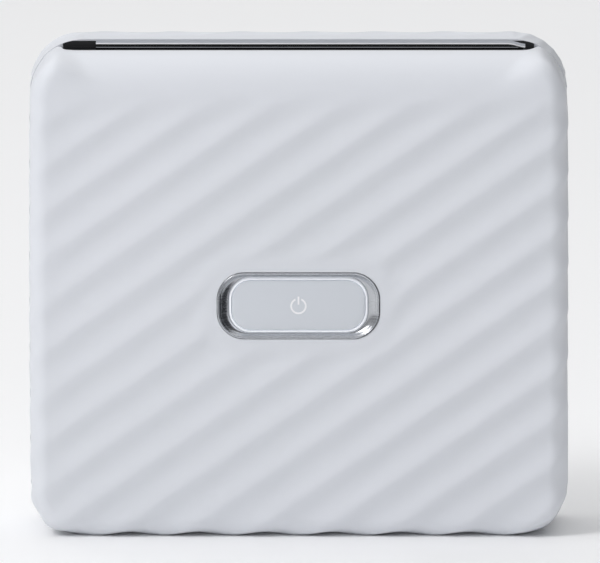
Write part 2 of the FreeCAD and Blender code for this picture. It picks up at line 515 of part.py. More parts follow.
roller_gear = gear(ROLLER_GEAR_T, INNER_GEAR_X, DRIVE_Y, ROLLER_Z,
                   to_roller + 180 + 180 / ROLLER_GEAR_T, SHAFT_R)
node("drive_roller_gear", roller_gear)
pinion = gear(PINION_T, OUTER_GEAR_X, MOTOR_Y, MOTOR_Z, to_motor + 180 + 180 / PINION_T, None)
MOTOR_SHAFT_R = 0.75
motor_x = (GEAR_PLATE_X[1], GEAR_PLATE_X[1] + MOTOR_L)
shaft = rod_x((OUTER_GEAR_X[0], motor_x[0] + 6), MOTOR_SHAFT_R, MOTOR_Y, MOTOR_Z)
node("motor_pinion", fuse([pinion, shaft]))
can = rod_x(motor_x, MOTOR_R, MOTOR_Y, MOTOR_Z)
can = can.makeFillet(0.8, [e for e in can.Edges if abs(e.BoundBox.XMin - motor_x[1]) < 0.01])
tabs = box((motor_x[1], motor_x[1] + 1.6), (MOTOR_Y - 2.6, MOTOR_Y - 2.0), (MOTOR_Z - 1, MOTOR_Z + 1))
tabs2 = box((motor_x[1], motor_x[1] + 1.6), (MOTOR_Y + 2.0, MOTOR_Y + 2.6), (MOTOR_Z - 1, MOTOR_Z + 1))
bush = rod_x((motor_x[0], motor_x[0] + 6.5), MOTOR_SHAFT_R + RUN, MOTOR_Y, MOTOR_Z)
node("motor", cut(fuse([can, tabs, tabs2]), bush))

plate_points = [(-13.6, 81.5), (11.2, 78.5), (11.2, 104.0), (DRIVE_Y + 4.0, ROLLER_Z + 4.2),
                (PRESS_Y - 2.0, ROLLER_Z + 4.2), (-13.6, 104.0)]
gear_plate = side_profile(GEAR_PLATE_X, plate_points)
plate_holes = [rod_x((-80, 0), SHAFT_R + RUN, y, ROLLER_Z) for y in (DRIVE_Y, PRESS_Y)]
plate_holes.append(rod_x((-80, 0), MOTOR_SHAFT_R + 0.3, MOTOR_Y, MOTOR_Z))
plate_holes.append(rod_x((-80, 0), AXLE_R, IDLER_Y, IDLER_Z))
node("gearbox_plate", cut(gear_plate, *plate_holes))

# ---- roller springs -------------------------------------------------------
SPRING_Z = ROLLER_Z + 5.6
left_hook = GEAR_PLATE_X[0] + 0.6
springs = [coil(V(x, PRESS_Y - 1.0, SPRING_Z), V(0, 1, 0), DRIVE_Y - PRESS_Y + 2.0, 9, 0.55, 0.14)
           for x in (left_hook, RIGHT_PLATE_X[0] + 0.6)]
node("roller_springs", springs)

# ---- film claw ------------------------------------------------------------
claw_x = (CHASSIS_X0 - 0.85, CHASSIS_X0 - 0.35)
strip = box(claw_x, CLAW_Y, (9.4, 70.0))
toe = box((claw_x[0], FILM_X - FILM_W / 2 + 1.0), (FILM_Y - 0.2, FILM_Y + 0.25), (9.4, 11.0))
eye = rod_x((claw_x[0] - 1, claw_x[1] + 1), 0.6, 1.6, 68.4)
node("film_claw", cut(fuse([strip, toe]), eye))
node("claw_spring", coil(V(CHASSIS_X0 - 1.9, 1.6, 50.0), V(0, 0, 1), 18.0, 14, 0.6, 0.14))

# ---- print head -----------------------------------------------------------
HEAD_Z = (PACK_Z1 + HEAD_GAP, PACK_Z1 + HEAD_GAP + HEAD_T)
HEAD_Y = (-12.0, -3.0)
head_x = (FILM_X - 55.0, FILM_X + 55.0)
head_case = box(head_x, HEAD_Y, HEAD_Z)
light_path = box((head_x[0] + 4, head_x[1] - 4), (HEAD_Y[0] - 1, HEAD_Y[1] + 1),
                 (HEAD_Z[0] + 1.8, HEAD_Z[1] - 1.8))
node("print_head_housing", cut(head_case, light_path))
node("print_head_lens", box((head_x[0] + 4.1, head_x[1] - 4.1), (HEAD_Y[1] - 3.0, FILM_Y - 0.9),
                            (HEAD_Z[0] + 1.9, HEAD_Z[1] - 1.9)))
node("print_head_board", box((head_x[0] + 1, head_x[1] - 1), (HEAD_Y[0] - 1.0, HEAD_Y[0]),
                             (HEAD_Z[0] - 0.4, HEAD_Z[1] + 0.4)))

# ---- main board -----------------------------------------------------------
board = slab((4.0, SIDE_X - 5.8), BOARD_Y, (7.0, 47.0), 1.0)
board = cut(board, rod_y((-20, 0), 3.1, HOUSING_SCREWS[2][0], HOUSING_SCREWS[2][1]))
node("main_board", cut(board, *[rod_y((-20, 0), 0.95, x, z) for x, z in BOARD_SCREWS]))
node("board_screws", [screw_y(x, z, BOARD_Y[0], (1.7, 1.0), 0.85, PLATE_Y[0] + 0.2)
                      for x, z in BOARD_SCREWS])
chips = [((30.0, 40.0), (12.0, 22.0), 1.0), ((16.0, 22.0), (12.0, 20.0), 0.9),
         ((46.0, 52.0), (34.0, 40.0), 1.0), ((18.0, 23.0), (38.0, 42.0), 0.8)]
node("main_chips", [box(x, (BOARD_Y[0] - t, BOARD_Y[0]), z) for x, z, t in chips])
can_out = box((26.0, 43.0), (BOARD_Y[0] - 1.8, BOARD_Y[0]), (26.0, 41.0))
can_in = box((26.3, 42.7), (BOARD_Y[0] - 1.5, BOARD_Y[0] + 1), (26.3, 40.7))
node("shield_can", cut(can_out, can_in))

# ---- battery --------------------------------------------------------------
CELL_Y = (-11.4, -5.4)
cell = box((-52.0, -12.0), CELL_Y, (9.5, 45.0))
cell = cell.makeFillet(1.6, [e for e in cell.Edges if e.BoundBox.ZLength > 30])
node("battery", cell)
tray = box((-53.4, -10.6), (-8.5, PLATE_Y[0]), (8.1, 46.4))
node("battery_tray", cut(tray, box((-52.2, -11.8), (-12, CELL_Y[1] + 0.1), (9.3, 45.2)),
                         box((-14, -9), (-12, CELL_Y[1] + 0.1), (34, 41))))
leads = [wire_run([(-12.0, -8.6, z), (-4.0, -8.6, z), (0.0, -9.6, z + 2), (5.0, -7.1, z + 2), (9.0, -7.1, z + 2)],
                  0.45) for z in (36.0, 38.4)]
node("battery_leads", leads)

# ---- flat cables ----------------------------------------------------------
node("button_flex", ribbon((14.0, 20.0), [(-7.9, 57.0), (-7.0, 52.0), (-7.0, 47.0), (-6.55, 42.6)], 0.25))
node("head_flex", ribbon((34.0, 46.0), [(-13.2, 103.5), (-13.2, 97.0), (-10.6, 88.0), (-10.6, 60.0),
                                        (-7.0, 50.0), (-6.55, 42.2)], 0.25))

# ---- film door ------------------------------------------------------------
DOOR_Y = (Y_REAR - DOOR_T, Y_REAR)
LATCH_WIN = ((-7.6, 7.6), (91.4, 101.4))
panel = slab((-DOOR_W / 2, DOOR_W / 2), DOOR_Y, (DOOR_Z0, DOOR_Z1), DOOR_LOW_R - DOOR_GAP,
             DOOR_R - DOOR_GAP)
panel = panel.makeChamfer(0.9, [e for e in rim(panel, Y_REAR) if e.BoundBox.ZMax < DOOR_Z0 + 0.1])
lugs = [rod_x((s * (DOOR_W / 2 - 3) - 3, s * (DOOR_W / 2 - 3) + 3), 1.9, HINGE_Y, HINGE_Z) for s in (-1, 1)]
webs = [box((s * (DOOR_W / 2 - 3) - 3, s * (DOOR_W / 2 - 3) + 3), (HINGE_Y, DOOR_Y[0] + 0.5),
            (HINGE_Z - 1.9, HINGE_Z + 1.9)) for s in (-1, 1)]
WINDOW = ((-52.0, -46.0), (60.0, 74.0))
window_hole = slab((WINDOW[0][0] - SEAT, WINDOW[0][1] + SEAT), (DOOR_Y[0] - 1, DOOR_Y[1] + 1),
                   (WINDOW[1][0] - SEAT, WINDOW[1][1] + SEAT), 2.6)
latch_hole = slab(LATCH_WIN[0], (DOOR_Y[0] - 1, DOOR_Y[1] + 1), LATCH_WIN[1], 1.5)
pin_holes = [rod_x((s * (DOOR_W / 2 - 3) - 4, s * (DOOR_W / 2 - 3) + 4), HINGE_R, HINGE_Y, HINGE_Z)
             for s in (-1, 1)]
node("film_door", cut(fuse([panel] + lugs + webs), window_hole, latch_hole, *pin_holes))
node("door_hinge_pins", [rod_x((s * (DOOR_W / 2 - 1.4) - 4.4, s * (DOOR_W / 2 - 1.4) + 4.4), HINGE_R,
                               HINGE_Y, HINGE_Z) for s in (-1, 1)])
node("film_window", slab(WINDOW[0], (DOOR_Y[0], DOOR_Y[1] - 0.3), WINDOW[1], 2.5))

LINER_Y = (13.6, DOOR_Y[0])
liner = slab((-57.0, 57.0), LINER_Y, (12.5, 103.2), 3.0)
liner_window = box(WINDOW[0], (LINER_Y[0] - 1, LINER_Y[1] + 1), WINDOW[1])
latch_pocket = box((-10.2, 10.2), (LINER_Y[0] - 1, LINER_Y[1] + 1), (79.5, 104.0))
node("film_door_liner", cut(liner, liner_window, latch_pocket))
leaves = [ribbon((x - 5, x + 5), [(13.35, 30.0), (11.75, 48.0), (11.75, 56.0), (13.35, 74.0)], 0.3)
          for x in (-22.0, 28.0)]
feet = [box((x - 5, x + 5), (13.25, LINER_Y[0]), (z - 2, z + 2)) for x in (-22.0, 28.0) for z in (30.0, 74.0)]
node("door_pressure_springs", [fuse([leaves[i], feet[2 * i], feet[2 * i + 1]]) for i in range(2)])

# ---- latch ----------------------------------------------------------------
latch_plate = box((-9.6, 9.6), (13.8, 14.75), (91.0, 103.0))
thumb = slab((-7.1, 7.1), (14.6, Y_REAR - 0.15), (94.8, 101.0), 1.2)
grooves = [box((-6.0, 6.0), (Y_REAR - 0.6, Y_REAR), (z, z + 0.6)) for z in (96.0, 97.4, 98.8)]
node("door_latch", cut(fuse([latch_plate, thumb]), *grooves))
node("latch_tongue", box((-4.0, 4.0), (13.8, 14.6), (103.0, 108.2)))
node("latch_spring", coil(V(0, 14.25, 79.6), V(0, 0, 1), 11.2, 9, 0.42, 0.12))

# ---- light seal -----------------------------------------------------------
SEAL_Y = (CH_REAR, LINER_Y[0] - 0.2)
seal_top = box((CHASSIS_X0, 57.0), SEAL_Y, (PACK_Z1 + 0.4, PACK_Z1 + 1.4))
seal_left = box((CHASSIS_X0, CHASSIS_X0 + 1.2), SEAL_Y, (13.0, PACK_Z1 + 1.4))
seal_right = box((CHASSIS_X1 - 1.2, CHASSIS_X1), SEAL_Y, (13.0, PACK_Z1 + 1.4))
node("door_light_seal", [fuse([seal_top, seal_left]), seal_right])

for name, shape in NODES.items():
    shape.exportStep("parts/" + name + ".step")
    box_size = shape.BoundBox
    print(name, shape.isValid(), len(shape.Solids), round(shape.Volume, 1),
          [round(v, 2) for v in (box_size.XMin, box_size.XMax, box_size.YMin, box_size.YMax,
                                 box_size.ZMin, box_size.ZMax)])
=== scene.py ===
# %% [markdown]
# A portable instant photo printer, dressed over its imported CAD frame.
# The frame gives every piece its place, so nothing here has to be fitted by eye.
# The box of the CAD model is kept now; the sizes of the skin are taken from it.

# %% Load the frame
import bpy
import bmesh
import math
import numpy as np
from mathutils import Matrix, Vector


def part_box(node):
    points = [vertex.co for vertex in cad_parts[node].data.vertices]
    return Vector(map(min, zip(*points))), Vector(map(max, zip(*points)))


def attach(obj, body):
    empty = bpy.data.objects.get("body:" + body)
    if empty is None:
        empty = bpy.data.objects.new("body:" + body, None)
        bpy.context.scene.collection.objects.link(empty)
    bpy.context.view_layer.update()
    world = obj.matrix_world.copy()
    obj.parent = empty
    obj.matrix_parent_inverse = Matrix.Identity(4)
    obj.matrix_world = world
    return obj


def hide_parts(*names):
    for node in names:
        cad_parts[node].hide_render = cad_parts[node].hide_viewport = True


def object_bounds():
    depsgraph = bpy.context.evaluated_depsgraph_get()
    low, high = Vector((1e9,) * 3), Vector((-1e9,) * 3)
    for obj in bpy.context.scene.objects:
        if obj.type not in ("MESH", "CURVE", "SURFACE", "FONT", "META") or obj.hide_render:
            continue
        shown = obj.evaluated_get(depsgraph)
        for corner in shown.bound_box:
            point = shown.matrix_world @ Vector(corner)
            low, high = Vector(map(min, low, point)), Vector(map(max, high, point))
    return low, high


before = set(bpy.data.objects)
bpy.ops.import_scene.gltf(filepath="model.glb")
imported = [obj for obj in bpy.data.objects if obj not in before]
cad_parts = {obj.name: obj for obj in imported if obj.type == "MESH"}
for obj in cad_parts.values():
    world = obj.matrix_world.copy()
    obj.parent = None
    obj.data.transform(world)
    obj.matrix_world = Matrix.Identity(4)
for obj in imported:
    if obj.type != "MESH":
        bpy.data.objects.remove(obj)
cad_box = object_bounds()
MM = 0.001
print("CAD box", [[round(v, 4) for v in corner] for corner in cad_box])

# %% [markdown]
# Colours are easiest to name as sRGB hex codes, the way a paint card gives them.
# Shaders work in linear light, so one function turns the code into linear numbers.

# %% Colour and node helpers
def linear(code):
    parts = [int(code[i:i + 2], 16) / 255 for i in (1, 3, 5)]
    light = [p / 12.92 if p <= 0.04045 else ((p + 0.055) / 1.055) ** 2.4 for p in parts]
    return (*light, 1.0)


def add(tree, kind, settings=None, links=None):
    """Adds one shader node, sets its properties and sockets, and links sockets to other nodes."""
    made = tree.nodes.new("ShaderNode" + kind)
    for key, value in (settings or {}).items():
        if isinstance(key, str) and hasattr(made, key) and key not in made.inputs:
            setattr(made, key, value)
        else:
            made.inputs[key].default_value = value
    for key, (source, output) in (links or {}).items():
        tree.links.new(source.outputs[output], made.inputs[key])
    return made


def surface(name):
    """An empty node material with its Principled shader."""
    made = bpy.data.materials.new(name)
    made.use_nodes = True
    return made, made.node_tree, made.node_tree.nodes["Principled BSDF"]


def tune(made, sockets):
    """Sets sockets on the Principled shader of a finished material."""
    for key, value in sockets.items():
        made.node_tree.nodes["Principled BSDF"].inputs[key].default_value = value


# %% [markdown]
# Most pieces of a product like this are injection moulded. The tool steel is spark eroded, and
# that leaves a fine pebble in the plastic. What the eye gets from it is a soft, even sheen with no
# mirror in it, and very small changes of shade. A noise of about 0.3 mm drives both the bump and
# the roughness, and a slow noise of about 40 mm moves the colour a little, as real mouldings do.

# %% Moulded plastic
def moulded(name, low, high, rough=0.5, grain_mm=0.3, grain_mm_high=0.02, ior=1.5, slow_mm=40.0):
    made, tree, shader = surface(name)
    place = add(tree, "TexCoord")
    slow = add(tree, "TexNoise", {"Scale": 1 / (slow_mm * MM), "Detail": 2.0},
               {"Vector": (place, "Object")})
    shade = add(tree, "Mix", {"data_type": "RGBA", 6: linear(low), 7: linear(high)},
                {0: (slow, "Fac")})
    grain = add(tree, "TexNoise", {"Scale": 1 / (grain_mm * MM), "Detail": 3.0, "Roughness": 0.6},
                {"Vector": (place, "Object")})
    spread = add(tree, "MapRange", {"To Min": rough - 0.05, "To Max": rough + 0.06},
                 {"Value": (grain, "Fac")})
    relief = add(tree, "Bump", {"Strength": 0.5, "Distance": grain_mm_high * MM},
                 {"Height": (grain, "Fac")})
    shader.inputs["IOR"].default_value = ior
    tree.links.new(shade.outputs[2], shader.inputs["Base Color"])
    tree.links.new(spread.outputs[0], shader.inputs["Roughness"])
    tree.links.new(relief.outputs[0], shader.inputs["Normal"])
    return made


shell_abs = moulded("spark_eroded_abs_pale_grey", "#DCDFE3", "#E1E3E8", 0.52, 0.35, 0.012, 1.53, 60)
black_pc = moulded("moulded_black_polycarbonate", "#101114", "#17181B", 0.48, 0.3, 0.02, 1.58)
slot_black = moulded("polished_black_polycarbonate", "#06070A", "#0A0B0E", 0.3, 0.3, 0.004, 1.58)
tune(slot_black, {"Specular IOR Level": 0.25})
chip_epoxy = moulded("moulded_chip_epoxy", "#141414", "#1B1B1C", 0.6, 0.12, 0.01, 1.55)
acetal = moulded("natural_acetal", "#DCD8CA", "#E6E3D8", 0.38, 0.4, 0.01, 1.48)
latch_abs = moulded("moulded_abs_mid_grey", "#A3A7AD", "#ABAFB5", 0.5, 0.3, 0.015, 1.53)
flap_elastomer = moulded("soft_touch_elastomer", "#CDD0D5", "#D4D7DB", 0.66, 0.3, 0.012, 1.5)
silicone = moulded("clear_silicone_dome", "#BFC1C0", "#CBCDCC", 0.35, 0.3, 0.008, 1.41)
print("moulded plastics", 8)

# %% [markdown]
# The metal pieces are stamped, drawn or turned. Rolling and drawing leave scratches that all run
# one way, so a noise stretched 40 times along one axis gives the roughness its streaks. A metal
# keeps the default IOR, because its colour already says how it reflects.

# %% Drawn and stamped metal
def metal(name, low, high, rough=0.3, streak=(1, 1, 40), scratch_mm=0.25, depth_mm=0.004):
    made, tree, shader = surface(name)
    place = add(tree, "TexCoord")
    squeeze = add(tree, "Mapping", {"Scale": tuple(1 / s for s in streak)},
                  {"Vector": (place, "Object")})
    lines = add(tree, "TexNoise", {"Scale": 1 / (scratch_mm * MM), "Detail": 4.0,
                                   "Roughness": 0.65},
                {"Vector": (squeeze, "Vector")})
    shade = add(tree, "Mix", {"data_type": "RGBA", 6: linear(low), 7: linear(high)},
                {0: (lines, "Fac")})
    spread = add(tree, "MapRange", {"To Min": max(rough - 0.08, 0.05), "To Max": rough + 0.1},
                 {"Value": (lines, "Fac")})
    relief = add(tree, "Bump", {"Strength": 0.4, "Distance": depth_mm * MM},
                 {"Height": (lines, "Fac")})
    shader.inputs["Metallic"].default_value = 1.0
    tree.links.new(shade.outputs[2], shader.inputs["Base Color"])
    tree.links.new(spread.outputs[0], shader.inputs["Roughness"])
    tree.links.new(relief.outputs[0], shader.inputs["Normal"])
    return made


tinned_steel = metal("rolled_tinned_steel", "#B4B5B7", "#C6C7C8", 0.3, (40, 1, 1))
zinc_screw = metal("zinc_plated_screw_steel", "#8E9092", "#A2A3A4", 0.34, (1, 1, 1), 0.15)
spring_wire = metal("drawn_spring_steel", "#8B8C8F", "#A9AAAC", 0.26, (1, 1, 1), 0.1)
motor_can = metal("drawn_nickel_can", "#A8A9AA", "#BDBEBF", 0.22, (30, 1, 1))
pouch_foil = metal("embossed_pouch_foil", "#9EA1A5", "#B2B5B8", 0.38, (1, 1, 6), 0.8, 0.02)
print("metals", 5)

# %% [markdown]
# The other finishes are a solder mask over woven glass, cut paper film, black pile, foam, amber
# polyimide and a few clear plastics. Each starts from what the stuff is. Weave and pile are drawn
# about twice their real size, because the real ones are finer than the picture can show.

# %% Circuit board, felt, film and clear plastics
def solder_mask(name, low, high):
    made, tree, shader = surface(name)
    place = add(tree, "TexCoord")
    weave = add(tree, "TexBrick", {"Scale": 1 / (1.2 * MM), "Mortar Size": 0.03,
                                   "Color1": linear(low), "Color2": linear(high),
                                   "Mortar": linear(high)},
                {"Vector": (place, "Object")})
    tracks = add(tree, "TexVoronoi", {"Scale": 1 / (3.0 * MM), "distance": "MANHATTAN"},
                 {"Vector": (place, "Object")})
    edge = add(tree, "MapRange", {"From Min": 0.28, "From Max": 0.32},
               {"Value": (tracks, "Distance")})
    relief = add(tree, "Bump", {"Strength": 0.6, "Distance": 0.03 * MM},
                 {"Height": (edge, "Result")})
    spread = add(tree, "MapRange", {"To Min": 0.22, "To Max": 0.34}, {"Value": (edge, "Result")})
    tree.links.new(weave.outputs["Color"], shader.inputs["Base Color"])
    tree.links.new(spread.outputs[0], shader.inputs["Roughness"])
    tree.links.new(relief.outputs[0], shader.inputs["Normal"])
    return made


def pile(name, low, high, fibre_mm, depth_mm):
    made, tree, shader = surface(name)
    place = add(tree, "TexCoord")
    fibre = add(tree, "TexNoise", {"Scale": 1 / (fibre_mm * MM), "Detail": 6.0, "Roughness": 0.8},
                {"Vector": (place, "Object")})
    shade = add(tree, "Mix", {"data_type": "RGBA", 6: linear(low), 7: linear(high)},
                {0: (fibre, "Fac")})
    relief = add(tree, "Bump", {"Strength": 0.9, "Distance": depth_mm * MM},
                 {"Height": (fibre, "Fac")})
    shader.inputs["Roughness"].default_value = 0.95
    shader.inputs["Sheen Weight"].default_value = 0.3
    tree.links.new(shade.outputs[2], shader.inputs["Base Color"])
    tree.links.new(relief.outputs[0], shader.inputs["Normal"])
    return made


def clear(name, low, high, rough, through, ior, painted_glow=0.0):
    made = moulded(name, low, high, rough, 0.3, 0.004, ior)
    tune(made, {"Transmission Weight": through})
    # painted_glow is a painted glow: an even emission on a piece that is not a lamp.
    if painted_glow:
        tune(made, {"Emission Color": linear("#F4F8FF"), "Emission Strength": painted_glow})
    return made


green_mask = solder_mask("green_solder_mask", "#0F4A2C", "#15593A")
black_mask = solder_mask("black_solder_mask", "#0E0F12", "#16181C")
felt = pile("black_felt_pile", "#070707", "#1A1A1B", 0.25, 0.15)
foam = pile("black_cell_foam", "#0B0B0C", "#1C1C1D", 0.6, 0.2)
film_card = moulded("coated_film_card", "#E6E5DF", "#F0EFEA", 0.35, 0.2, 0.004, 1.5)
roller_rubber = moulded("ground_black_rubber", "#0E0E0F", "#18181A", 0.7, 0.15, 0.03, 1.52)
polyimide = clear("amber_polyimide", "#8A4A12", "#A05C1C", 0.3, 0.15, 1.7)
rod_lens = clear("graded_rod_lens_glass", "#AEB8BC", "#C5CED2", 0.08, 0.7, 1.6)
red_window = clear("dark_red_inspection_window", "#38100A", "#4A1810", 0.08, 0.35, 1.49)
lead_skin = moulded("silicone_lead_insulation", "#A81B16", "#BC2A20", 0.45, 0.2, 0.01, 1.42)
# The light guide is off, so its emission of 0.22 is a painted glow.
light_guide = clear("milky_guide_with_painted_glow", "#F2F4F7", "#FAFBFD", 0.35, 0.1, 1.49, 0.22)
print("other finishes", 11)

# %% [markdown]
# The cap of the button is painted a pale silver grey under a thin clear coat, so it has a soft
# sheen and the faintest sparkle of metal flake. Its printed symbol is dense white ink.

# %% Button finishes
cap_paint = moulded("silver_grey_paint_clear_coat", "#D3D7DC", "#D8DCE1", 0.36, 0.18, 0.004, 1.5)
tune(cap_paint, {"Metallic": 0.15, "Coat Weight": 0.25, "Coat Roughness": 0.2})
white_ink = moulded("pad_printed_white_ink", "#F4F4F6", "#FFFFFF", 0.5, 0.2, 0.004, 1.5)
dish_metal = metal("satin_turned_bezel_aluminium", "#B4B6BA", "#BFC1C4", 0.24, (30, 30, 1),
                   0.35, 0.0012)
slot_silver = moulded("satin_silver_slot_paint", "#AEB1B6", "#B8BBC0", 0.34, 0.2, 0.003, 1.5)
tune(slot_silver, {"Metallic": 0.35})
# A near-white finish for the thin bead under the slot rail: a painted highlight, standing in for the
# glint along that edge.
painted_highlight_white = moulded("near_white_painted_highlight", "#F3F4F6", "#FAFAFC", 0.3, 0.2, 0.002, 1.5)

# %% Give each CAD node its finish
FINISH = {
    "film_door": shell_abs, "film_door_liner": black_pc, "film_window": red_window,
    "door_hinge_pins": zinc_screw, "door_pressure_springs": spring_wire, "door_latch": latch_abs,
    "latch_tongue": black_pc, "latch_spring": spring_wire, "door_light_seal": foam,
    "housing_screws": zinc_screw, "power_button": cap_paint, "power_mark": white_ink,
    "button_light_ring": light_guide, "button_dome": silicone, "button_board": black_mask,
    "button_board_screws": zinc_screw, "exit_slot_trim": black_pc, "exit_light_shield": felt,
    "usb_cover": flap_elastomer, "usb_socket": tinned_steel, "reset_switch": chip_epoxy,
    "reset_button": black_pc, "chassis": black_pc, "chassis_screws": zinc_screw,
    "film_pack_case": black_pc, "film_stack": film_card, "film_next_sheet": film_card,
    "pack_spring_plate": spring_wire, "drive_roller": roller_rubber,
    "pressure_roller": roller_rubber,
    "drive_roller_gear": acetal, "idler_gear": acetal, "motor_pinion": acetal, "motor": motor_can,
    "gearbox_plate": tinned_steel, "roller_bracket": tinned_steel, "idler_axle": zinc_screw,
    "roller_springs": spring_wire, "claw_spring": spring_wire, "film_claw": tinned_steel,
    "print_head_housing": black_pc, "print_head_lens": rod_lens, "print_head_board": green_mask,
    "main_board": green_mask, "board_screws": zinc_screw, "main_chips": chip_epoxy,
    "shield_can": tinned_steel, "battery": pouch_foil, "battery_tray": black_pc,
    "battery_leads": lead_skin, "button_flex": polyimide, "head_flex": polyimide,
}
for name, finish in FINISH.items():
    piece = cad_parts[name]
    piece.data.materials.clear()
    piece.data.materials.append(finish)
print("CAD nodes finished", len(FINISH), "of", len(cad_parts))

# %% [markdown]
# The two covers carry the look of the whole thing. Smooth ridges run up to the right at 34.5
# degrees, 9.9 mm apart, and they wrap round the sides like cloth round a book. A plain bump map
# would leave the outline straight, so the ridges are real: a fine mesh is wrapped over the slab
# and each point is pushed in along its normal. Every point also knows where it would lie if the
# skin were unrolled flat, and the ridge pattern is worked out there, so the ridges cross the edges
# without a break.

# %% Sizes of the skin
low, high = (np.array(c) for c in cad_box)
W, D, H = (high - low) / MM
Y_FRONT, Y_REAR = low[1] / MM, high[1] / MM
SPLIT_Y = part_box("rear_cover")[0][1] / MM
TOP_R, LOW_R = 14.0, 11.5
FRONT_R, REAR_R = 5.0, 4.0
LIP_Y, LIP_DROP, MOUTH_HALF = -4.0, 1.9, 61.0
SHOULDER_R = LIP_Y - Y_FRONT
SHOULDER_Z = H - LIP_DROP - SHOULDER_R
BUTTON_Z = sum(c[2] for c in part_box("power_mark")) / 2 / MM
ANGLE = math.radians(34.5)
PITCH = 9.89
DEPTH_RIB = 0.74
PHASE = 0.166
CREST = 0.22
STEP = 0.6
HALF_SEAM = 0.12
LIP_BLEND = 0.08
CROWN = 0.35
BOW = 0.3
SHARP = math.radians(32)
print("skin", round(W, 2), round(D, 2), round(H, 2), "button height", round(BUTTON_Z, 2))


# %% A square sheet pulled to a rounded rectangle
def rounded(u, v, half_w, half_h, r_low, r_high, centre_z):
    """A square from -1 to 1 pulled to a rounded rectangle: its points and outward directions."""
    r = np.where(v > 0, r_high, r_low)
    x, z = u * half_w, v * half_h
    a = np.maximum(np.abs(x) - (half_w - r), 0) / r
    b = np.maximum(np.abs(z) - (half_h - r), 0) / r
    a2, b2 = a * np.sqrt(1 - b * b / 2), b * np.sqrt(1 - a * a / 2)
    px = np.where((a > 0) & (b > 0), half_w - r + r * a2, np.abs(x)) * np.sign(x)
    pz = np.where((a > 0) & (b > 0), half_h - r + r * b2, np.abs(z)) * np.sign(z)
    nx = np.where((a > 0) & (b > 0), a2, (a >= 1) * 1.0) * np.sign(x)
    nz = np.where((a > 0) & (b > 0), b2, (b >= 1) * 1.0) * np.sign(z)
    size = np.maximum(np.hypot(nx, nz), 1e-9)
    return px, pz + centre_z, nx / size, nz / size


def edge_square(nu, nv):
    """The border of a square grid, counter-clockwise from the lower left."""
    us, vs = np.linspace(-1, 1, nu + 1), np.linspace(-1, 1, nv + 1)
    u = np.concatenate([us[:-1], np.full(nv, 1.0), us[::-1][:-1], np.full(nv, -1.0)])
    v = np.concatenate([np.full(nu, -1.0), vs[:-1], np.full(nu, 1.0), vs[::-1][:-1]])
    return u, v


def smooth(value, a, b):
    t = np.clip((value - a) / (b - a), 0, 1)
    return t * t * (3 - 2 * t)


# %% The ridge pattern
def pill_gap(x, z, half_w, half_h, r):
    """How far a point is outside a rounded oblong centred on the button."""
    a = np.maximum(np.abs(x) - (half_w - r), 0)
    b = np.maximum(np.abs(z - BUTTON_Z) - (half_h - r), 0)
    return np.hypot(a, b) - r


def ridge(u, v):
    """From 0 in a valley to 1 on a crest; crests are a little narrower than valleys."""
    across = (-u * math.sin(ANGLE) + v * math.cos(ANGLE)) / PITCH + PHASE
    wave = np.abs(np.sin(np.pi * across))
    rise = np.sqrt(wave * wave + CREST) - math.sqrt(CREST)
    return 1 - rise / (math.sqrt(1 + CREST) - math.sqrt(CREST))


def panel_gap(y, z, y_range, z_range):
    """How far a point of the side wall is outside a rectangle."""
    a = np.maximum(np.maximum(y_range[0] - y, y - y_range[1]), 0)
    b = np.maximum(np.maximum(z_range[0] - z, z - z_range[1]), 0)
    return np.hypot(a, b)


# %% Build a mesh from rows of points
def loops_to_mesh(name, points, faces, finish):
    data = bpy.data.meshes.new(name)
    data.from_pydata([tuple(p) for p in points * MM], [], faces)
    data.polygons.foreach_set("use_smooth", [True] * len(data.polygons))
    data.materials.append(finish)
    made = bpy.data.objects.new(name, data)
    bpy.context.collection.objects.link(made)
    return made


def push_in(made, depth):
    """Moves each vertex inwards along its normal by its own depth in mm."""
    data = made.data
    n = len(data.vertices)
    where, normal = np.empty(n * 3), np.empty(n * 3)
    data.vertices.foreach_get("co", where)
    data.vertices.foreach_get("normal", normal)
    where = where.reshape(-1, 3) - normal.reshape(-1, 3) * depth[:, None] * MM
    data.vertices.foreach_set("co", where.ravel())
    data.update()


def apply_all(made):
    bpy.context.view_layer.update()
    graph = bpy.context.evaluated_depsgraph_get()
    done = bpy.data.meshes.new_from_object(made.evaluated_get(graph))
    made.modifiers.clear()
    made.data = done
    return made


# %% [markdown]
# The front cover starts as a flat rounded sheet. A band then rolls over its edge and runs back to
# the parting line. Under the exit slot the shoulder is much rounder than the other edges, and the
# lip there sits 1.9 mm lower than the rear rim, so that a finger can take hold of a print.

# %% Front cover: the sheet and its band
NU, NV = round(W / STEP), round(H / STEP)
gu, gv = np.meshgrid(np.linspace(-1, 1, NU + 1), np.linspace(-1, 1, NV + 1), indexing="ij")
sx, sz, _, _ = rounded(gu.ravel(), gv.ravel(), W / 2 - FRONT_R, H / 2 - FRONT_R,
                       LOW_R - FRONT_R, TOP_R - FRONT_R, H / 2)
sheet = np.stack([sx, np.full_like(sx, Y_FRONT), sz], 1)
flat = np.stack([sx, sz], 1)


def at(i, j):
    return i * (NV + 1) + j


border = ([at(i, 0) for i in range(NU)] + [at(NU, j) for j in range(NV)]
          + [at(i, NV) for i in range(NU, 0, -1)] + [at(0, j) for j in range(NV, 0, -1)])
bu, bv = edge_square(NU, NV)
bx, bz, nx, nz = rounded(bu, bv, W / 2 - FRONT_R, H / 2 - FRONT_R,
                         LOW_R - FRONT_R, TOP_R - FRONT_R, H / 2)

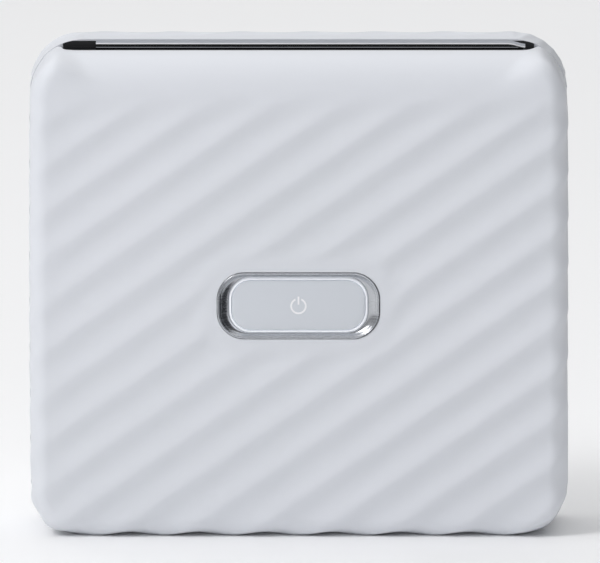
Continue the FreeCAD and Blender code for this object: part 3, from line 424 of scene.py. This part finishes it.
mouth_x = bx + nx * FRONT_R
mouth = (bz > H / 2) * (1 - smooth(mouth_x, MOUTH_HALF - 3.4, MOUTH_HALF + 0.6))
mouth = mouth * smooth(mouth_x, -MOUTH_HALF - 0.3, -MOUTH_HALF + 1.5)
end_y = (SPLIT_Y - HALF_SEAM) + (LIP_Y - SPLIT_Y + HALF_SEAM) * np.sqrt(mouth * (2 - mouth))
rows, row_flat = [], []
turns = 14
for k in range(1, turns + 1):
    phi = k / turns * math.pi / 2
    out = FRONT_R * math.sin(phi)
    rows.append(np.stack([bx + nx * out, np.full_like(bx, Y_FRONT + FRONT_R * (1 - math.cos(phi))),
                          bz + nz * out], 1))
    row_flat.append(np.stack([bx + nx * FRONT_R * phi, bz + nz * FRONT_R * phi], 1))
runs = 22
for k in range(1, runs + 1):
    y = (Y_FRONT + FRONT_R) + (end_y - Y_FRONT - FRONT_R) * k / runs
    far = FRONT_R * math.pi / 2 + y - Y_FRONT - FRONT_R
    rows.append(np.stack([bx + nx * FRONT_R, y, bz + nz * FRONT_R], 1))
    row_flat.append(np.stack([bx + nx * far, bz + nz * far], 1))
points = np.concatenate([sheet] + rows)
flat = np.concatenate([flat] + row_flat)
n_sheet, n_loop = len(sheet), len(bx)
faces = [(at(i, j), at(i + 1, j), at(i + 1, j + 1), at(i, j + 1))
         for i in range(NU) for j in range(NV)]
for k in range(len(rows)):
    for s in range(n_loop):
        t = (s + 1) % n_loop
        a, b = (border[s], border[t]) if k == 0 else (n_sheet + (k - 1) * n_loop + s,
                                                     n_sheet + (k - 1) * n_loop + t)
        faces.append((a, n_sheet + k * n_loop + s, n_sheet + k * n_loop + t, b))
print("front cover skin", len(points), "points")


# %% Front cover: the round shoulder under the slot
def lip_sink(drop):
    """How far the lip has to follow the corner down; it stays level until the corner reaches it."""
    return 0.5 * (drop - LIP_DROP + np.sqrt((drop - LIP_DROP) ** 2 + LIP_BLEND))


def shoulder(p):
    """Moves the top front edge from its small radius to the large one, less at the corners."""
    x, y, z = p[:, 0], p[:, 1], p[:, 2]
    into_corner = np.abs(x) - W / 2 + TOP_R
    drop = np.where(np.abs(x) > W / 2 - TOP_R,
                    TOP_R - np.sqrt(np.maximum(TOP_R ** 2 - into_corner ** 2, 0)), 0)
    zz = z + drop
    sink = lip_sink(drop)
    face_run = (H - FRONT_R) - SHOULDER_Z
    arc_run = FRONT_R * math.pi / 2
    flat_run = LIP_Y - (Y_FRONT + FRONT_R)
    whole = face_run + arc_run + flat_run
    turn = np.arctan2(zz - (H - FRONT_R), (Y_FRONT + FRONT_R) - y)
    along = np.where(zz <= H - FRONT_R, zz - SHOULDER_Z,
                     np.where(y <= Y_FRONT + FRONT_R,
                              face_run + np.clip(turn, 0, math.pi / 2) * FRONT_R,
                              face_run + arc_run + (y - Y_FRONT - FRONT_R)))
    share = np.clip(along / whole, 0, 1) * math.pi / 2
    ty = LIP_Y - SHOULDER_R * np.cos(share)
    tz = SHOULDER_Z + SHOULDER_R * np.sin(share) - sink
    fade_from = 44.0 + 13.0 * np.sin(share)
    on = (along > 0) * (1 - smooth(np.abs(x), fade_from, 69.4)) * (y < SPLIT_Y)
    ty = np.where(along > whole, y, ty)
    tz = np.where(along > whole, H - LIP_DROP - sink, tz)
    return np.stack([x, y + (ty - y) * on, z + (tz - z) * on], 1)


points = shoulder(points)
front = loops_to_mesh("front_shell", points, faces, shell_abs)

# %% Front cover: the ridges
flap_low, flap_high = [[c / MM for c in corner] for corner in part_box("usb_cover")]
x, y, z = points.T
side = smooth(np.abs(x), W / 2 - 5, W / 2 - 1)
fade_slot = 1 - smooth(z, 106.5, 117.0)
fade_slot = np.maximum(fade_slot, side * (1 - smooth(z, H - TOP_R - 6, H - TOP_R + 4)))
fade_bezel = smooth(pill_gap(x, z, 21.15, 8.8, 6.6), 1.0, 7.0)
fade_left = 0.5 + 0.5 * smooth(x, -69.0, -56.0)
flap_gap = panel_gap(y, z, (flap_low[1], flap_high[1]), (flap_low[2], flap_high[2]))
fade_flap = smooth(flap_gap, 0.9, 5.0)
fade_flap = np.where(x > W / 2 - 3, fade_flap, 1)
mask = fade_slot * fade_bezel * fade_left * fade_flap
rest_height = 0.62 + 0.38 * (1 - fade_flap)
height = mask * ridge(flat[:, 0], flat[:, 1]) + (1 - mask) * rest_height
crown = CROWN * ((z - H / 2) / (H / 2)) ** 2 * side * fade_flap
push_in(front, DEPTH_RIB * (1 - height) + crown)
print("ridge depth", DEPTH_RIB, "mm, pitch", PITCH, "mm")

# %% [markdown]
# The skin gets its wall thickness inwards, and then the openings are cut through it: the oblong for
# the bezel, the seat of the port flap, and behind that the holes for the plug and the reset button.
# Real covers have thicker bosses inside for the screws, so those are added where the CAD has them.

# %% Wall thickness, cutters and bosses
def thicken(made, wall_mm):
    solid = made.modifiers.new("wall", "SOLIDIFY")
    solid.thickness = wall_mm * MM
    solid.offset = -1.0
    solid.use_even_offset = False
    return apply_all(made)


def prism(name, loop, y0, y1):
    """A closed block between two y planes, with its outline given as x and z points in mm."""
    n = len(loop)
    verts = [(p[0], y, p[1]) for y in (y0, y1) for p in loop]
    sides = [(i, (i + 1) % n, n + (i + 1) % n, n + i) for i in range(n)]
    caps = [tuple(range(n))[::-1], tuple(range(n, 2 * n))]
    data = bpy.data.meshes.new(name)
    data.from_pydata([tuple(c * MM for c in v) for v in verts], [], sides + caps)
    whole = bmesh.new()
    whole.from_mesh(data)
    bmesh.ops.recalc_face_normals(whole, faces=whole.faces)
    whole.to_mesh(data)
    whole.free()
    made = bpy.data.objects.new(name, data)
    bpy.context.collection.objects.link(made)
    return made


def block(name, x, y, z):
    return prism(name, [(x[0], z[0]), (x[1], z[0]), (x[1], z[1]), (x[0], z[1])], *y)


def ring_points(half_w, half_h, r, cz, n=16, bow=0.0):
    """An oblong outline with n points in each corner; bow swells its long sides a little."""
    out = []
    for cx, cy, start in ((1, 1, 0), (-1, 1, 90), (-1, -1, 180), (1, -1, 270)):
        for k in range(n + 1):
            a = math.radians(start + 90 * k / n)
            px, pz = cx * (half_w - r) + r * math.cos(a), cy * (half_h - r) + r * math.sin(a)
            grow = bow * (1 - (px / half_w) ** 2) * (1 if pz > 0 else -1)
            out.append((px, cz + pz + grow))
    return out


def disc(x, z, r, n=32):
    turned = [2 * math.pi * k / n for k in range(n)]
    return [(x + r * math.cos(a), z + r * math.sin(a)) for a in turned]


def rod(name, across, y0, y1, r, axis="y"):
    """A round bar; across is its centre as x and z, or as y and z for a bar along x."""
    made = prism(name, disc(across[0], across[1], r), y0, y1)
    if axis == "x":
        for vert in made.data.vertices:
            vert.co = (vert.co.y, vert.co.x, vert.co.z)
        made.data.flip_normals()
    return made


def carve(made, tools, kind):
    """Joins separate closed solids into one tool, and adds it to a shell or cuts it away."""
    whole = bmesh.new()
    for piece in tools:
        whole.from_mesh(piece.data)
    joined = bpy.data.meshes.new("tool")
    whole.to_mesh(joined)
    whole.free()
    for piece in tools:
        bpy.data.objects.remove(piece)
    tool = bpy.data.objects.new("tool", joined)
    bpy.context.collection.objects.link(tool)
    knife = made.modifiers.new("carve", "BOOLEAN")
    knife.operation = kind
    knife.solver = "EXACT"
    knife.object = tool
    apply_all(made)
    bpy.data.objects.remove(tool)
    return made


WALL_MM = 1.3
thicken(front, WALL_MM)
board_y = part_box("button_board")[0][1] / MM
screw_low, screw_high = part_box("housing_screws")
HEAD_R = 2.0
HOUSING_SCREWS = [(s * (screw_high[0] / MM - HEAD_R), z) for s in (-1, 1)
                  for z in (screw_low[2] / MM + HEAD_R, screw_high[2] / MM - HEAD_R)]
CHASSIS_SCREWS = [(-50.0, 53.0), (50.0, 53.0), (-24.0, 97.0), (50.0, 97.0)]
BUTTON_POSTS = [(-26.0, BUTTON_Z), (26.0, BUTTON_Z)]
inside = Y_FRONT + 1.15
bosses = [rod("boss", p, inside + 0.8, SPLIT_Y - HALF_SEAM, 2.6) for p in HOUSING_SCREWS]
bosses += [rod("boss", p, inside, -3.5, 2.5) for p in CHASSIS_SCREWS]
bosses += [rod("boss", p, inside, board_y, 2.0) for p in BUTTON_POSTS]
bosses.append(block("flap_well", (W / 2 - 3, W / 2 - 1.0), (flap_low[1] - 1, flap_high[1] + 1.2),
                    (flap_low[2] - 1.4, flap_high[2] + 1.4)))
carve(front, bosses, "UNION")
PORT_Y = (flap_low[1] + flap_high[1]) / 2
PORT_Z = sum(c[2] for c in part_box("usb_socket")) / 2 / MM
RESET_Z = sum(c[2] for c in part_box("reset_button")) / 2 / MM
SLIDE = 0.3
BEHIND_FLAP = (W / 2 - 4, W / 2 - 1.2)
cutters = [prism("hole_bezel", ring_points(21.02, 8.57, 6.92, BUTTON_Z, 16, BOW),
                 Y_FRONT - 1, Y_FRONT + 4),
           block("flap_seat", (flap_low[0] - 0.1, W / 2 + 1),
                 (flap_low[1] - SLIDE, flap_high[1] + SLIDE),
                 (flap_low[2] - SLIDE, flap_high[2] + SLIDE)),
           block("port", BEHIND_FLAP, (PORT_Y - 1.6, PORT_Y + 1.6), (PORT_Z - 4.1, PORT_Z + 4.1)),
           rod("reset", (PORT_Y, RESET_Z), *BEHIND_FLAP, 1.2, "x")]
carve(front, cutters, "DIFFERENCE")
pilots = [rod("pilot", p, -8.4, SPLIT_Y + 1, 1.2) for p in HOUSING_SCREWS]
pilots += [rod("pilot", p, -10.4, -2.0, 1.05) for p in CHASSIS_SCREWS]
pilots += [rod("pilot", p, -13.2, board_y + 1, 0.85) for p in BUTTON_POSTS]
carve(front, pilots, "DIFFERENCE")
front.data.set_sharp_from_angle(angle=SHARP)
print("front cover", len(front.data.polygons), "faces")

# %% [markdown]
# The rear cover is the same kind of skin, from the parting line round to the flat back, where the
# film door sits in its opening. The ridges die away on the turn to the back, because the printer
# also has to lie flat.

# %% Rear cover skin
bx4, bz4, nx4, nz4 = rounded(bu, bv, W / 2 - REAR_R, H / 2 - REAR_R,
                             LOW_R - REAR_R, TOP_R - REAR_R, H / 2)
door_low, door_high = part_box("film_door")
gap = 0.4
ow = (door_high[0] - door_low[0]) / 2 / MM + gap
oz0, oz1 = door_low[2] / MM - 0.6, door_high[2] / MM + gap
rows, row_flat = [], []
start_y = SPLIT_Y + HALF_SEAM
runs = 22
for k in range(runs + 1):
    y = start_y + (Y_REAR - REAR_R - start_y) * k / runs
    far = FRONT_R * math.pi / 2 + y - Y_FRONT - FRONT_R
    rows.append(np.stack([bx4 + nx4 * REAR_R, np.full_like(bx4, y), bz4 + nz4 * REAR_R], 1))
    row_flat.append(np.stack([bx4 + nx4 * (far - 1), bz4 + nz4 * (far - 1)], 1))
turns = 12
for k in range(1, turns + 1):
    phi = k / turns * math.pi / 2
    out = REAR_R * math.cos(phi)
    rows.append(np.stack([bx4 + nx4 * out,
                          np.full_like(bx4, Y_REAR - REAR_R + REAR_R * math.sin(phi)),
                          bz4 + nz4 * out], 1))
    reach = far - 1 + REAR_R * phi
    row_flat.append(np.stack([bx4 + nx4 * reach, bz4 + nz4 * reach], 1))
for inset in (0.4, 0.8):
    rows.append(np.stack([bx4 - nx4 * inset, np.full_like(bx4, Y_REAR), bz4 - nz4 * inset], 1))
    row_flat.append(row_flat[-1])
back_points, back_flat = np.concatenate(rows), np.concatenate(row_flat)
faces = []
for k in range(len(rows) - 1):
    for s in range(n_loop):
        t = (s + 1) % n_loop
        faces.append((k * n_loop + s, (k + 1) * n_loop + s, (k + 1) * n_loop + t, k * n_loop + t))
faces.append(tuple((len(rows) - 1) * n_loop + s for s in range(n_loop))[::-1])
rear = loops_to_mesh("rear_shell", back_points, faces, shell_abs)
x, y, z = back_points.T
mask = 1 - smooth(y, Y_REAR - REAR_R - 1.0, Y_REAR - REAR_R * 0.35)
on_mouth = (z > H - 4) * (1 - smooth(np.abs(x), MOUTH_HALF - 6, MOUTH_HALF + 2))
mask *= 1 - on_mouth * (1 - smooth(y, SPLIT_Y + 0.6, SPLIT_Y + 5.0))
at_corner = smooth(np.abs(x), W / 2 - TOP_R, W / 2 - TOP_R * 0.6)
mask *= 1 - 0.75 * smooth(z, H - TOP_R, H - TOP_R * 0.6) * at_corner
calm_height = 1 - 0.25 * (y < Y_REAR - REAR_R)
height = mask * ridge(back_flat[:, 0], back_flat[:, 1]) + (1 - mask) * calm_height
crown = CROWN * ((z - H / 2) / (H / 2)) ** 2 * smooth(np.abs(x), W / 2 - 5, W / 2 - 1) * mask
push_in(rear, DEPTH_RIB * (1 - height) + crown)
thicken(rear, WALL_MM)


def door_outline(half_w, z0, z1, r_low, r_high, n=10):
    out = []
    for cx, cz, r, start in ((half_w, z1, r_high, 0), (-half_w, z1, r_high, 90),
                             (-half_w, z0, r_low, 180), (half_w, z0, r_low, 270)):
        for k in range(n + 1):
            a = math.radians(start + 90 * k / n)
            out.append((cx - math.copysign(r, cx) + r * math.cos(a),
                        cz + (-r if cz == z1 else r) + r * math.sin(a)))
    return out


ear_x = door_high[0] / MM + 0.4
hinge_y, hinge_z, hinge_r = 14.4, 8.0, 1.05
posts = [rod("post", p, SPLIT_Y + HALF_SEAM, Y_REAR - 0.9, 2.6) for p in HOUSING_SCREWS]
posts += [block("ear", sorted((s * ear_x, s * (ear_x + 3.0))), (hinge_y - 2.2, Y_REAR - 0.9),
                (hinge_z - 3.2, hinge_z + 3.2)) for s in (-1, 1)]
carve(rear, posts, "UNION")
cutters = [prism("hole_door", door_outline(ow, oz0, oz1, 1.6, 5.6), Y_REAR - 4, Y_REAR + 1)]
cutters += [rod("screw_bore", p, SPLIT_Y - 1, Y_REAR - 2, 1.25) for p in HOUSING_SCREWS]
cutters += [rod("hinge_hole", (hinge_y, hinge_z),
                *sorted((s * (ear_x - 0.5), s * (ear_x + 3.5))), hinge_r, "x") for s in (-1, 1)]
carve(rear, cutters, "DIFFERENCE")
carve(rear, [rod("screw_seat", p, 13.5, Y_REAR + 1, 2.2) for p in HOUSING_SCREWS], "DIFFERENCE")
rear.data.set_sharp_from_angle(angle=SHARP)
print("rear cover", len(rear.data.polygons), "faces")

# %% Both covers ride on the housing
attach(front, "housing")
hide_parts("front_cover")
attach(rear, "housing")
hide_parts("rear_cover")

# %% [markdown]
# The bezel is a pressed ring with a satin dish. It is built like a turned part: one outline is
# drawn at many depths and sizes, from the outer wall over a fine rounded lip, down the hollow dish
# and into the opening, and the rings are joined. The long sides bow out a little, as on the real
# part.

# %% Rings joined into a skin
def ring_loft(name, rings, finish, n=20, cap=False):
    """rings: half width, half height, corner radius, y, height offset and bow of each outline."""
    verts, faces = [], []
    for half_w, half_h, r, y, dz, bow in rings:
        outline = ring_points(half_w, half_h, r, BUTTON_Z + dz, n, bow)
        verts += [(px * MM, y * MM, pz * MM) for px, pz in outline]
    m = 4 * (n + 1)
    for k in range(len(rings) - 1):
        for s in range(m):
            t = (s + 1) % m
            faces.append((k * m + s, k * m + t, (k + 1) * m + t, (k + 1) * m + s))
    if cap:
        faces.append(tuple(range((len(rings) - 1) * m, len(rings) * m)))
    data = bpy.data.meshes.new(name)
    data.from_pydata(verts, [], faces)
    whole = bmesh.new()
    whole.from_mesh(data)
    bmesh.ops.remove_doubles(whole, verts=whole.verts, dist=1e-6)
    bmesh.ops.recalc_face_normals(whole, faces=whole.faces)
    whole.to_mesh(data)
    whole.free()
    data.polygons.foreach_set("use_smooth", [True] * len(data.polygons))
    data.materials.append(finish)
    made = bpy.data.objects.new(name, data)
    bpy.context.collection.objects.link(made)
    return made


def mix(a, b, t):
    return [p + (q - p) * t for p, q in zip(a, b)]


BEZEL_WALL, BEZEL_LIP, BEZEL_BACK = (20.9, 8.45, 6.8), (20.65, 8.2, 6.55), Y_FRONT + 3.0
rings = [[*BEZEL_WALL, BEZEL_BACK, 0, BOW], [*BEZEL_WALL, Y_FRONT + 0.9, 0, BOW]]
for k in range(7):
    a = k / 6 * math.pi
    swell = 0.25 * math.cos(a)
    rings.append([*(size + swell for size in BEZEL_LIP),
                  Y_FRONT + 0.3 - 0.28 * math.sin(a), 0, BOW])
edge = [20.05, 7.75, 6.2, Y_FRONT + 0.42, 0.0, BOW]
dish_floor = [17.95, 7.2, 5.5, Y_FRONT + 1.5, 0.1, BOW]
for k in range(15):
    t = k / 14
    bend = mix(edge, dish_floor, t)
    bend[3] = edge[3] + (dish_floor[3] - edge[3]) * math.sin(t * math.pi / 2) ** 0.85
    rings.append(bend)
rings.append([*dish_floor[:3], BEZEL_BACK, *dish_floor[4:]])
bezel = ring_loft("bezel_dish", rings, dish_metal)
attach(bezel, "housing")
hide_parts("button_bezel")
print("bezel", len(bezel.data.polygons), "faces")

# %% [markdown]
# The cap is a shallow moulded tray, painted, with a slightly crowned face and a rounded edge. The
# light guide is a thin frame that shows between the cap and the bezel. Its front edge slopes
# outward, so its lower run catches light from the table and its upper run stays dim. Although it
# is off, it is given a faint painted glow, an even emission of pale light over the whole frame.

# %% Cap and light guide
CAP_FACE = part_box("power_button")[0][1] / MM
CAP_FLANGE, CAP_SIDE, CAP_TOP = (18.9, 8.2, 6.4), (17.2, 6.4, 4.9), (16.9, 6.1, 4.6)
CAP_ROUND = 0.3
cap_rings = [[*CAP_FLANGE, CAP_FACE + 3.0, 0, 0], [*CAP_FLANGE, CAP_FACE + 2.2, 0, 0],
             [*CAP_SIDE, CAP_FACE + 2.2, 0, BOW], [*CAP_SIDE, CAP_FACE + 0.4, 0, BOW]]
for k in range(1, 7):
    a = k / 6 * math.pi / 2
    drawn_in = CAP_ROUND * (1 - math.cos(a))
    cap_rings.append([*(size - drawn_in for size in CAP_SIDE),
                      CAP_FACE + 0.45 - 0.35 * math.sin(a), 0, BOW])
for t in (0.93, 0.85, 0.75, 0.6, 0.4, 0.2):
    cap_rings.append([*(size * t for size in CAP_TOP), CAP_FACE + 0.1 * t ** 2, 0, BOW * t])
cap = ring_loft("cap_crowned", cap_rings, cap_paint, 20, True)
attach(cap, "button")
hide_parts("power_button")

ring_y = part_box("button_light_ring")[0][1] / MM
GUIDE_INNER, GUIDE_OUTER, GUIDE_BACK = (17.32, 6.52, 5.0), (17.84, 7.04, 5.44), CAP_FACE + 2.0
guide_rings = [[*GUIDE_INNER, GUIDE_BACK, 0, BOW], [*GUIDE_INNER, ring_y - 0.06, 0, BOW],
               [17.40, 6.60, 5.06, ring_y - 0.12, 0, BOW], [17.56, 6.76, 5.2, ring_y - 0.02, 0, BOW],
               [*GUIDE_OUTER, ring_y + 0.42, 0, BOW], [*GUIDE_OUTER, GUIDE_BACK, 0, BOW]]
# Its finish carries the painted glow.
guide = ring_loft("light_guide_frame", guide_rings + [guide_rings[0]], light_guide)
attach(guide, "housing")
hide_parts("button_light_ring")
print("cap", len(cap.data.polygons), "guide", len(guide.data.polygons), "faces")

# %% [markdown]
# The exit slot is a black insert with a throat through it, and a satin silver rail along the rear
# of the throat. A near-white bead under the rail and a silver bead on the rear edge of the throat
# are painted highlights. An extruded part is easiest to make from its end view: the outline is
# drawn once in y and z, given small radii, and pulled along x, with a few extra stations to shape
# the right end.

# %% Slot insert and rail
def extrusion(name, outline, stations, finish):
    """Pulls a y, z outline along x; each station is x, its sink there, and its highest z."""
    verts = [(x * MM, y * MM, min(z - sink, roof) * MM)
             for x, sink, roof in stations for y, z in outline]
    m = len(outline)
    faces = [(k * m + s, (k + 1) * m + s, (k + 1) * m + (s + 1) % m, k * m + (s + 1) % m)
             for k in range(len(stations) - 1) for s in range(m)]
    faces += [tuple(range(m)), tuple(range((len(stations) - 1) * m, len(stations) * m))[::-1]]
    data = bpy.data.meshes.new(name)
    data.from_pydata(verts, [], faces)
    whole = bmesh.new()
    whole.from_mesh(data)
    bmesh.ops.recalc_face_normals(whole, faces=whole.faces)
    whole.to_mesh(data)
    whole.free()
    data.materials.append(finish)
    made = bpy.data.objects.new(name, data)
    bpy.context.collection.objects.link(made)
    return made


def soft_outline(corners, r, n=4):
    """Rounds each corner of an outline with n steps."""
    out = []
    for i, c in enumerate(corners):
        here, before = Vector(c), Vector(corners[i - 1])
        after = Vector(corners[(i + 1) % len(corners)])
        a = here + (before - here).normalized() * min(r, (before - here).length / 2)
        b = here + (after - here).normalized() * min(r, (after - here).length / 2)
        for k in range(n + 1):
            t = k / n
            out.append(tuple(a * (1 - t) ** 2 + here * 2 * t * (1 - t) + b * t * t))
    return out


insert_low, insert_high = [[c / MM for c in corner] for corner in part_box("exit_slot_trim")]
LIP_Z = H - LIP_DROP
throat_x0, throat_x1 = [c[0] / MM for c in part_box("exit_light_shield")]
THROAT_Y = (-3.1, 0.5)
TOP_Z = LIP_Z - 0.25
back_end = SPLIT_Y - 0.05
insert_floor = insert_low[2] + 2.3
profile = [(THROAT_Y[1], insert_floor), (back_end, insert_floor), (back_end, LIP_Z + 1.35),
           (1.05, LIP_Z + 1.35), (1.0, TOP_Z), (THROAT_Y[1], TOP_Z)]
half = insert_high[0]


def corner_drop(x):
    """How far the outline of the cover has come down at x."""
    return TOP_R - math.sqrt(max(TOP_R ** 2 - max(abs(x) - W / 2 + TOP_R, 0) ** 2, 0))


ends = ([-half + 0.15, -half + 0.5, -half + 1.0, -half + 1.6, -half + 2.6, -56, -55.5]
        + list(np.linspace(-50, 50, 21)) + [55.5, 56.5, 58, 59.4, half - 0.6, half - 0.1])


def station(x, extra=0.0):
    return x, float(lip_sink(corner_drop(x))) + extra, H - corner_drop(x) - 0.3


stations = [station(x) for x in ends]
insert = extrusion("slot_insert_rear", soft_outline(profile, 0.12), stations, slot_black)
front_profile = [(insert_low[1], insert_floor), (THROAT_Y[0], insert_floor),
                 (THROAT_Y[0], TOP_Z), (insert_low[1], TOP_Z)]
insert_front = extrusion("slot_insert_front", soft_outline(front_profile, 0.1), stations,
                         slot_black)
end_fill = [(THROAT_Y[0] - 0.02, insert_floor), (THROAT_Y[1] + 0.02, insert_floor),
            (THROAT_Y[1] + 0.02, TOP_Z - 0.25), (THROAT_Y[0] - 0.02, TOP_Z - 0.25)]
fill_left = extrusion("slot_end_left", soft_outline(end_fill, 0.1),
                      [s for s in stations if s[0] < throat_x0] + [station(throat_x0)], slot_black)
fill_right = extrusion("slot_end_right", soft_outline(end_fill, 0.1),
                       [station(throat_x1)] + [s for s in stations if s[0] > throat_x1], slot_black)
rail_profile = [(0.50, LIP_Z + 0.60), (1.1, LIP_Z + 0.60), (1.1, LIP_Z + 1.5), (0.98, LIP_Z + 1.5),
                (0.88, LIP_Z + 0.92), (0.52, LIP_Z + 0.72)]
rail_x = ([throat_x0 + 0.1, throat_x0 + 0.4] + list(np.linspace(-48, 50, 20))
          + [54, 55.5, 56.6, 57.4, 58.0, 58.4])
rail_stations = [station(x, 0.9 * float(smooth(x, 54.0, 58.6))) for x in rail_x]
rail = extrusion("slot_rail", soft_outline(rail_profile, 0.1), rail_stations, slot_silver)
# The bead under the rail is near white: a painted highlight line along the rail's lower edge.
rail_edge = extrusion("slot_rail_highlight_bead", disc(0.56, LIP_Z + 0.66, 0.17, 10), rail_stations,
                      painted_highlight_white)
# A thin silver rod on the rear edge of the black throat: a painted highlight line on an edge of
# black plastic.
throat_edge = extrusion("slot_throat_highlight_bead", disc(THROAT_Y[1] + 0.03, TOP_Z - 0.02, 0.1, 10),
                        [station(x) for x in rail_x[:-3]], slot_silver)
for piece in (insert, insert_front, fill_left, fill_right, rail, rail_edge, throat_edge):
    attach(piece, "housing")
    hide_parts("exit_slot_trim")
print("slot pieces", 7)

# %% [markdown]
# The printer stands on a plain pale floor, in soft studio light. One large soft lamp stands high on
# the left, so the upper left of every ridge is light and its lower right falls into shade. A weaker
# one fills from the front. The camera is far off with a long lens, as for a catalogue, ten degrees
# above the level of the button.

# %% Floor
floor_mesh = bpy.data.meshes.new("floor")
floor_mesh.from_pydata([(-6, -6, 0), (6, -6, 0), (6, 12, 0), (-6, 12, 0)], [], [(0, 1, 2, 3)])
floor_plane = bpy.data.objects.new("floor", floor_mesh)
bpy.context.collection.objects.link(floor_plane)
floor_mesh.materials.append(
    moulded("pale_paper_floor", "#FCFCFC", "#FFFFFF", 0.8, 0.8, 0.01, 1.45, 300))


# %% [markdown]
# A bright metal dish shows what stands around it, so a studio puts a black card beside it to give
# it a dark side. This one is seen only in reflections: it casts no shadow and hides nothing.

# %% Black card
card_mesh = bpy.data.meshes.new("black_card")
card_mesh.from_pydata([(0.2, -0.45, 0.001), (0.2, 0.02, 0.001), (0.2, 0.02, 0.2), (0.2, -0.45, 0.2),
                       (0.03, -0.45, 0.001), (0.03, -0.035, 0.001), (0.2, -0.035, 0.001)], [],
                      [(0, 1, 2, 3), (4, 0, 6, 5)])
card = bpy.data.objects.new("black_card", card_mesh)
bpy.context.collection.objects.link(card)
card_mesh.materials.append(
    moulded("black_paper_card", "#2C2D30", "#333438", 0.9, 0.8, 0.01, 1.45, 300))
card.visible_camera = card.visible_diffuse = card.visible_shadow = False


# %% Light
def lamp(name, where, target, size, power, tint="#FFFFFF"):
    data = bpy.data.lights.new(name, "AREA")
    data.shape = "RECTANGLE"
    data.size, data.size_y = size
    data.energy = power
    data.color = linear(tint)[:3]
    made = bpy.data.objects.new(name, data)
    made.location = where
    made.rotation_euler = (Vector(target) - Vector(where)).to_track_quat("-Z", "Y").to_euler()
    bpy.context.collection.objects.link(made)


middle = Vector((0, 0, H * MM / 2))
lamp("overhead", (0.0, 1.2, 2.4), (0, 1.2, 0), (4.0, 4.0), 55.0, "#FFFFFF")
lamp("key_high_left", (-0.95, -0.60, 1.10), middle, (0.55, 0.55), 9.6, "#FDFDFF")
lamp("fill_front", (0.5, -2.2, 0.5), middle, (1.6, 1.2), 8.5, "#F6F8FF")
world = bpy.data.worlds.new("studio")
world.use_nodes = True
sky = world.node_tree
away = add(sky, "TexCoord")
split = add(sky, "SeparateXYZ", links={"Vector": (away, "Generated")})
side_light = add(sky, "MapRange", {"interpolation_type": "SMOOTHSTEP", "From Min": -0.9,
                                   "From Max": 0.9, "To Min": 0.40, "To Max": 0.10},
                 {"Value": (split, "X")})
background = sky.nodes["Background"]
background.inputs[0].default_value = linear("#F4F5F8")
sky.links.new(side_light.outputs[0], background.inputs[1])
bpy.context.scene.world = world
bpy.context.scene.view_settings.view_transform = "Standard"

# %% Camera
ELEVATION = math.radians(10.0)
FAR = 4.0
SEEN_WIDTH = 0.15488
SENSOR_MM = 36.0
aim = Vector((0.0004, 0, 0.0642))
camera = bpy.data.objects.new("camera", bpy.data.cameras.new("camera"))
camera.data.sensor_width = SENSOR_MM
camera.data.lens = SENSOR_MM * FAR / SEEN_WIDTH
camera.data.clip_end = 60
camera.location = aim + Vector((0, -math.cos(ELEVATION), math.sin(ELEVATION))) * FAR
camera.rotation_euler = (aim - camera.location).to_track_quat("-Z", "Y").to_euler()
bpy.context.collection.objects.link(camera)
bpy.context.scene.camera = camera
print("lens", round(camera.data.lens, 1))
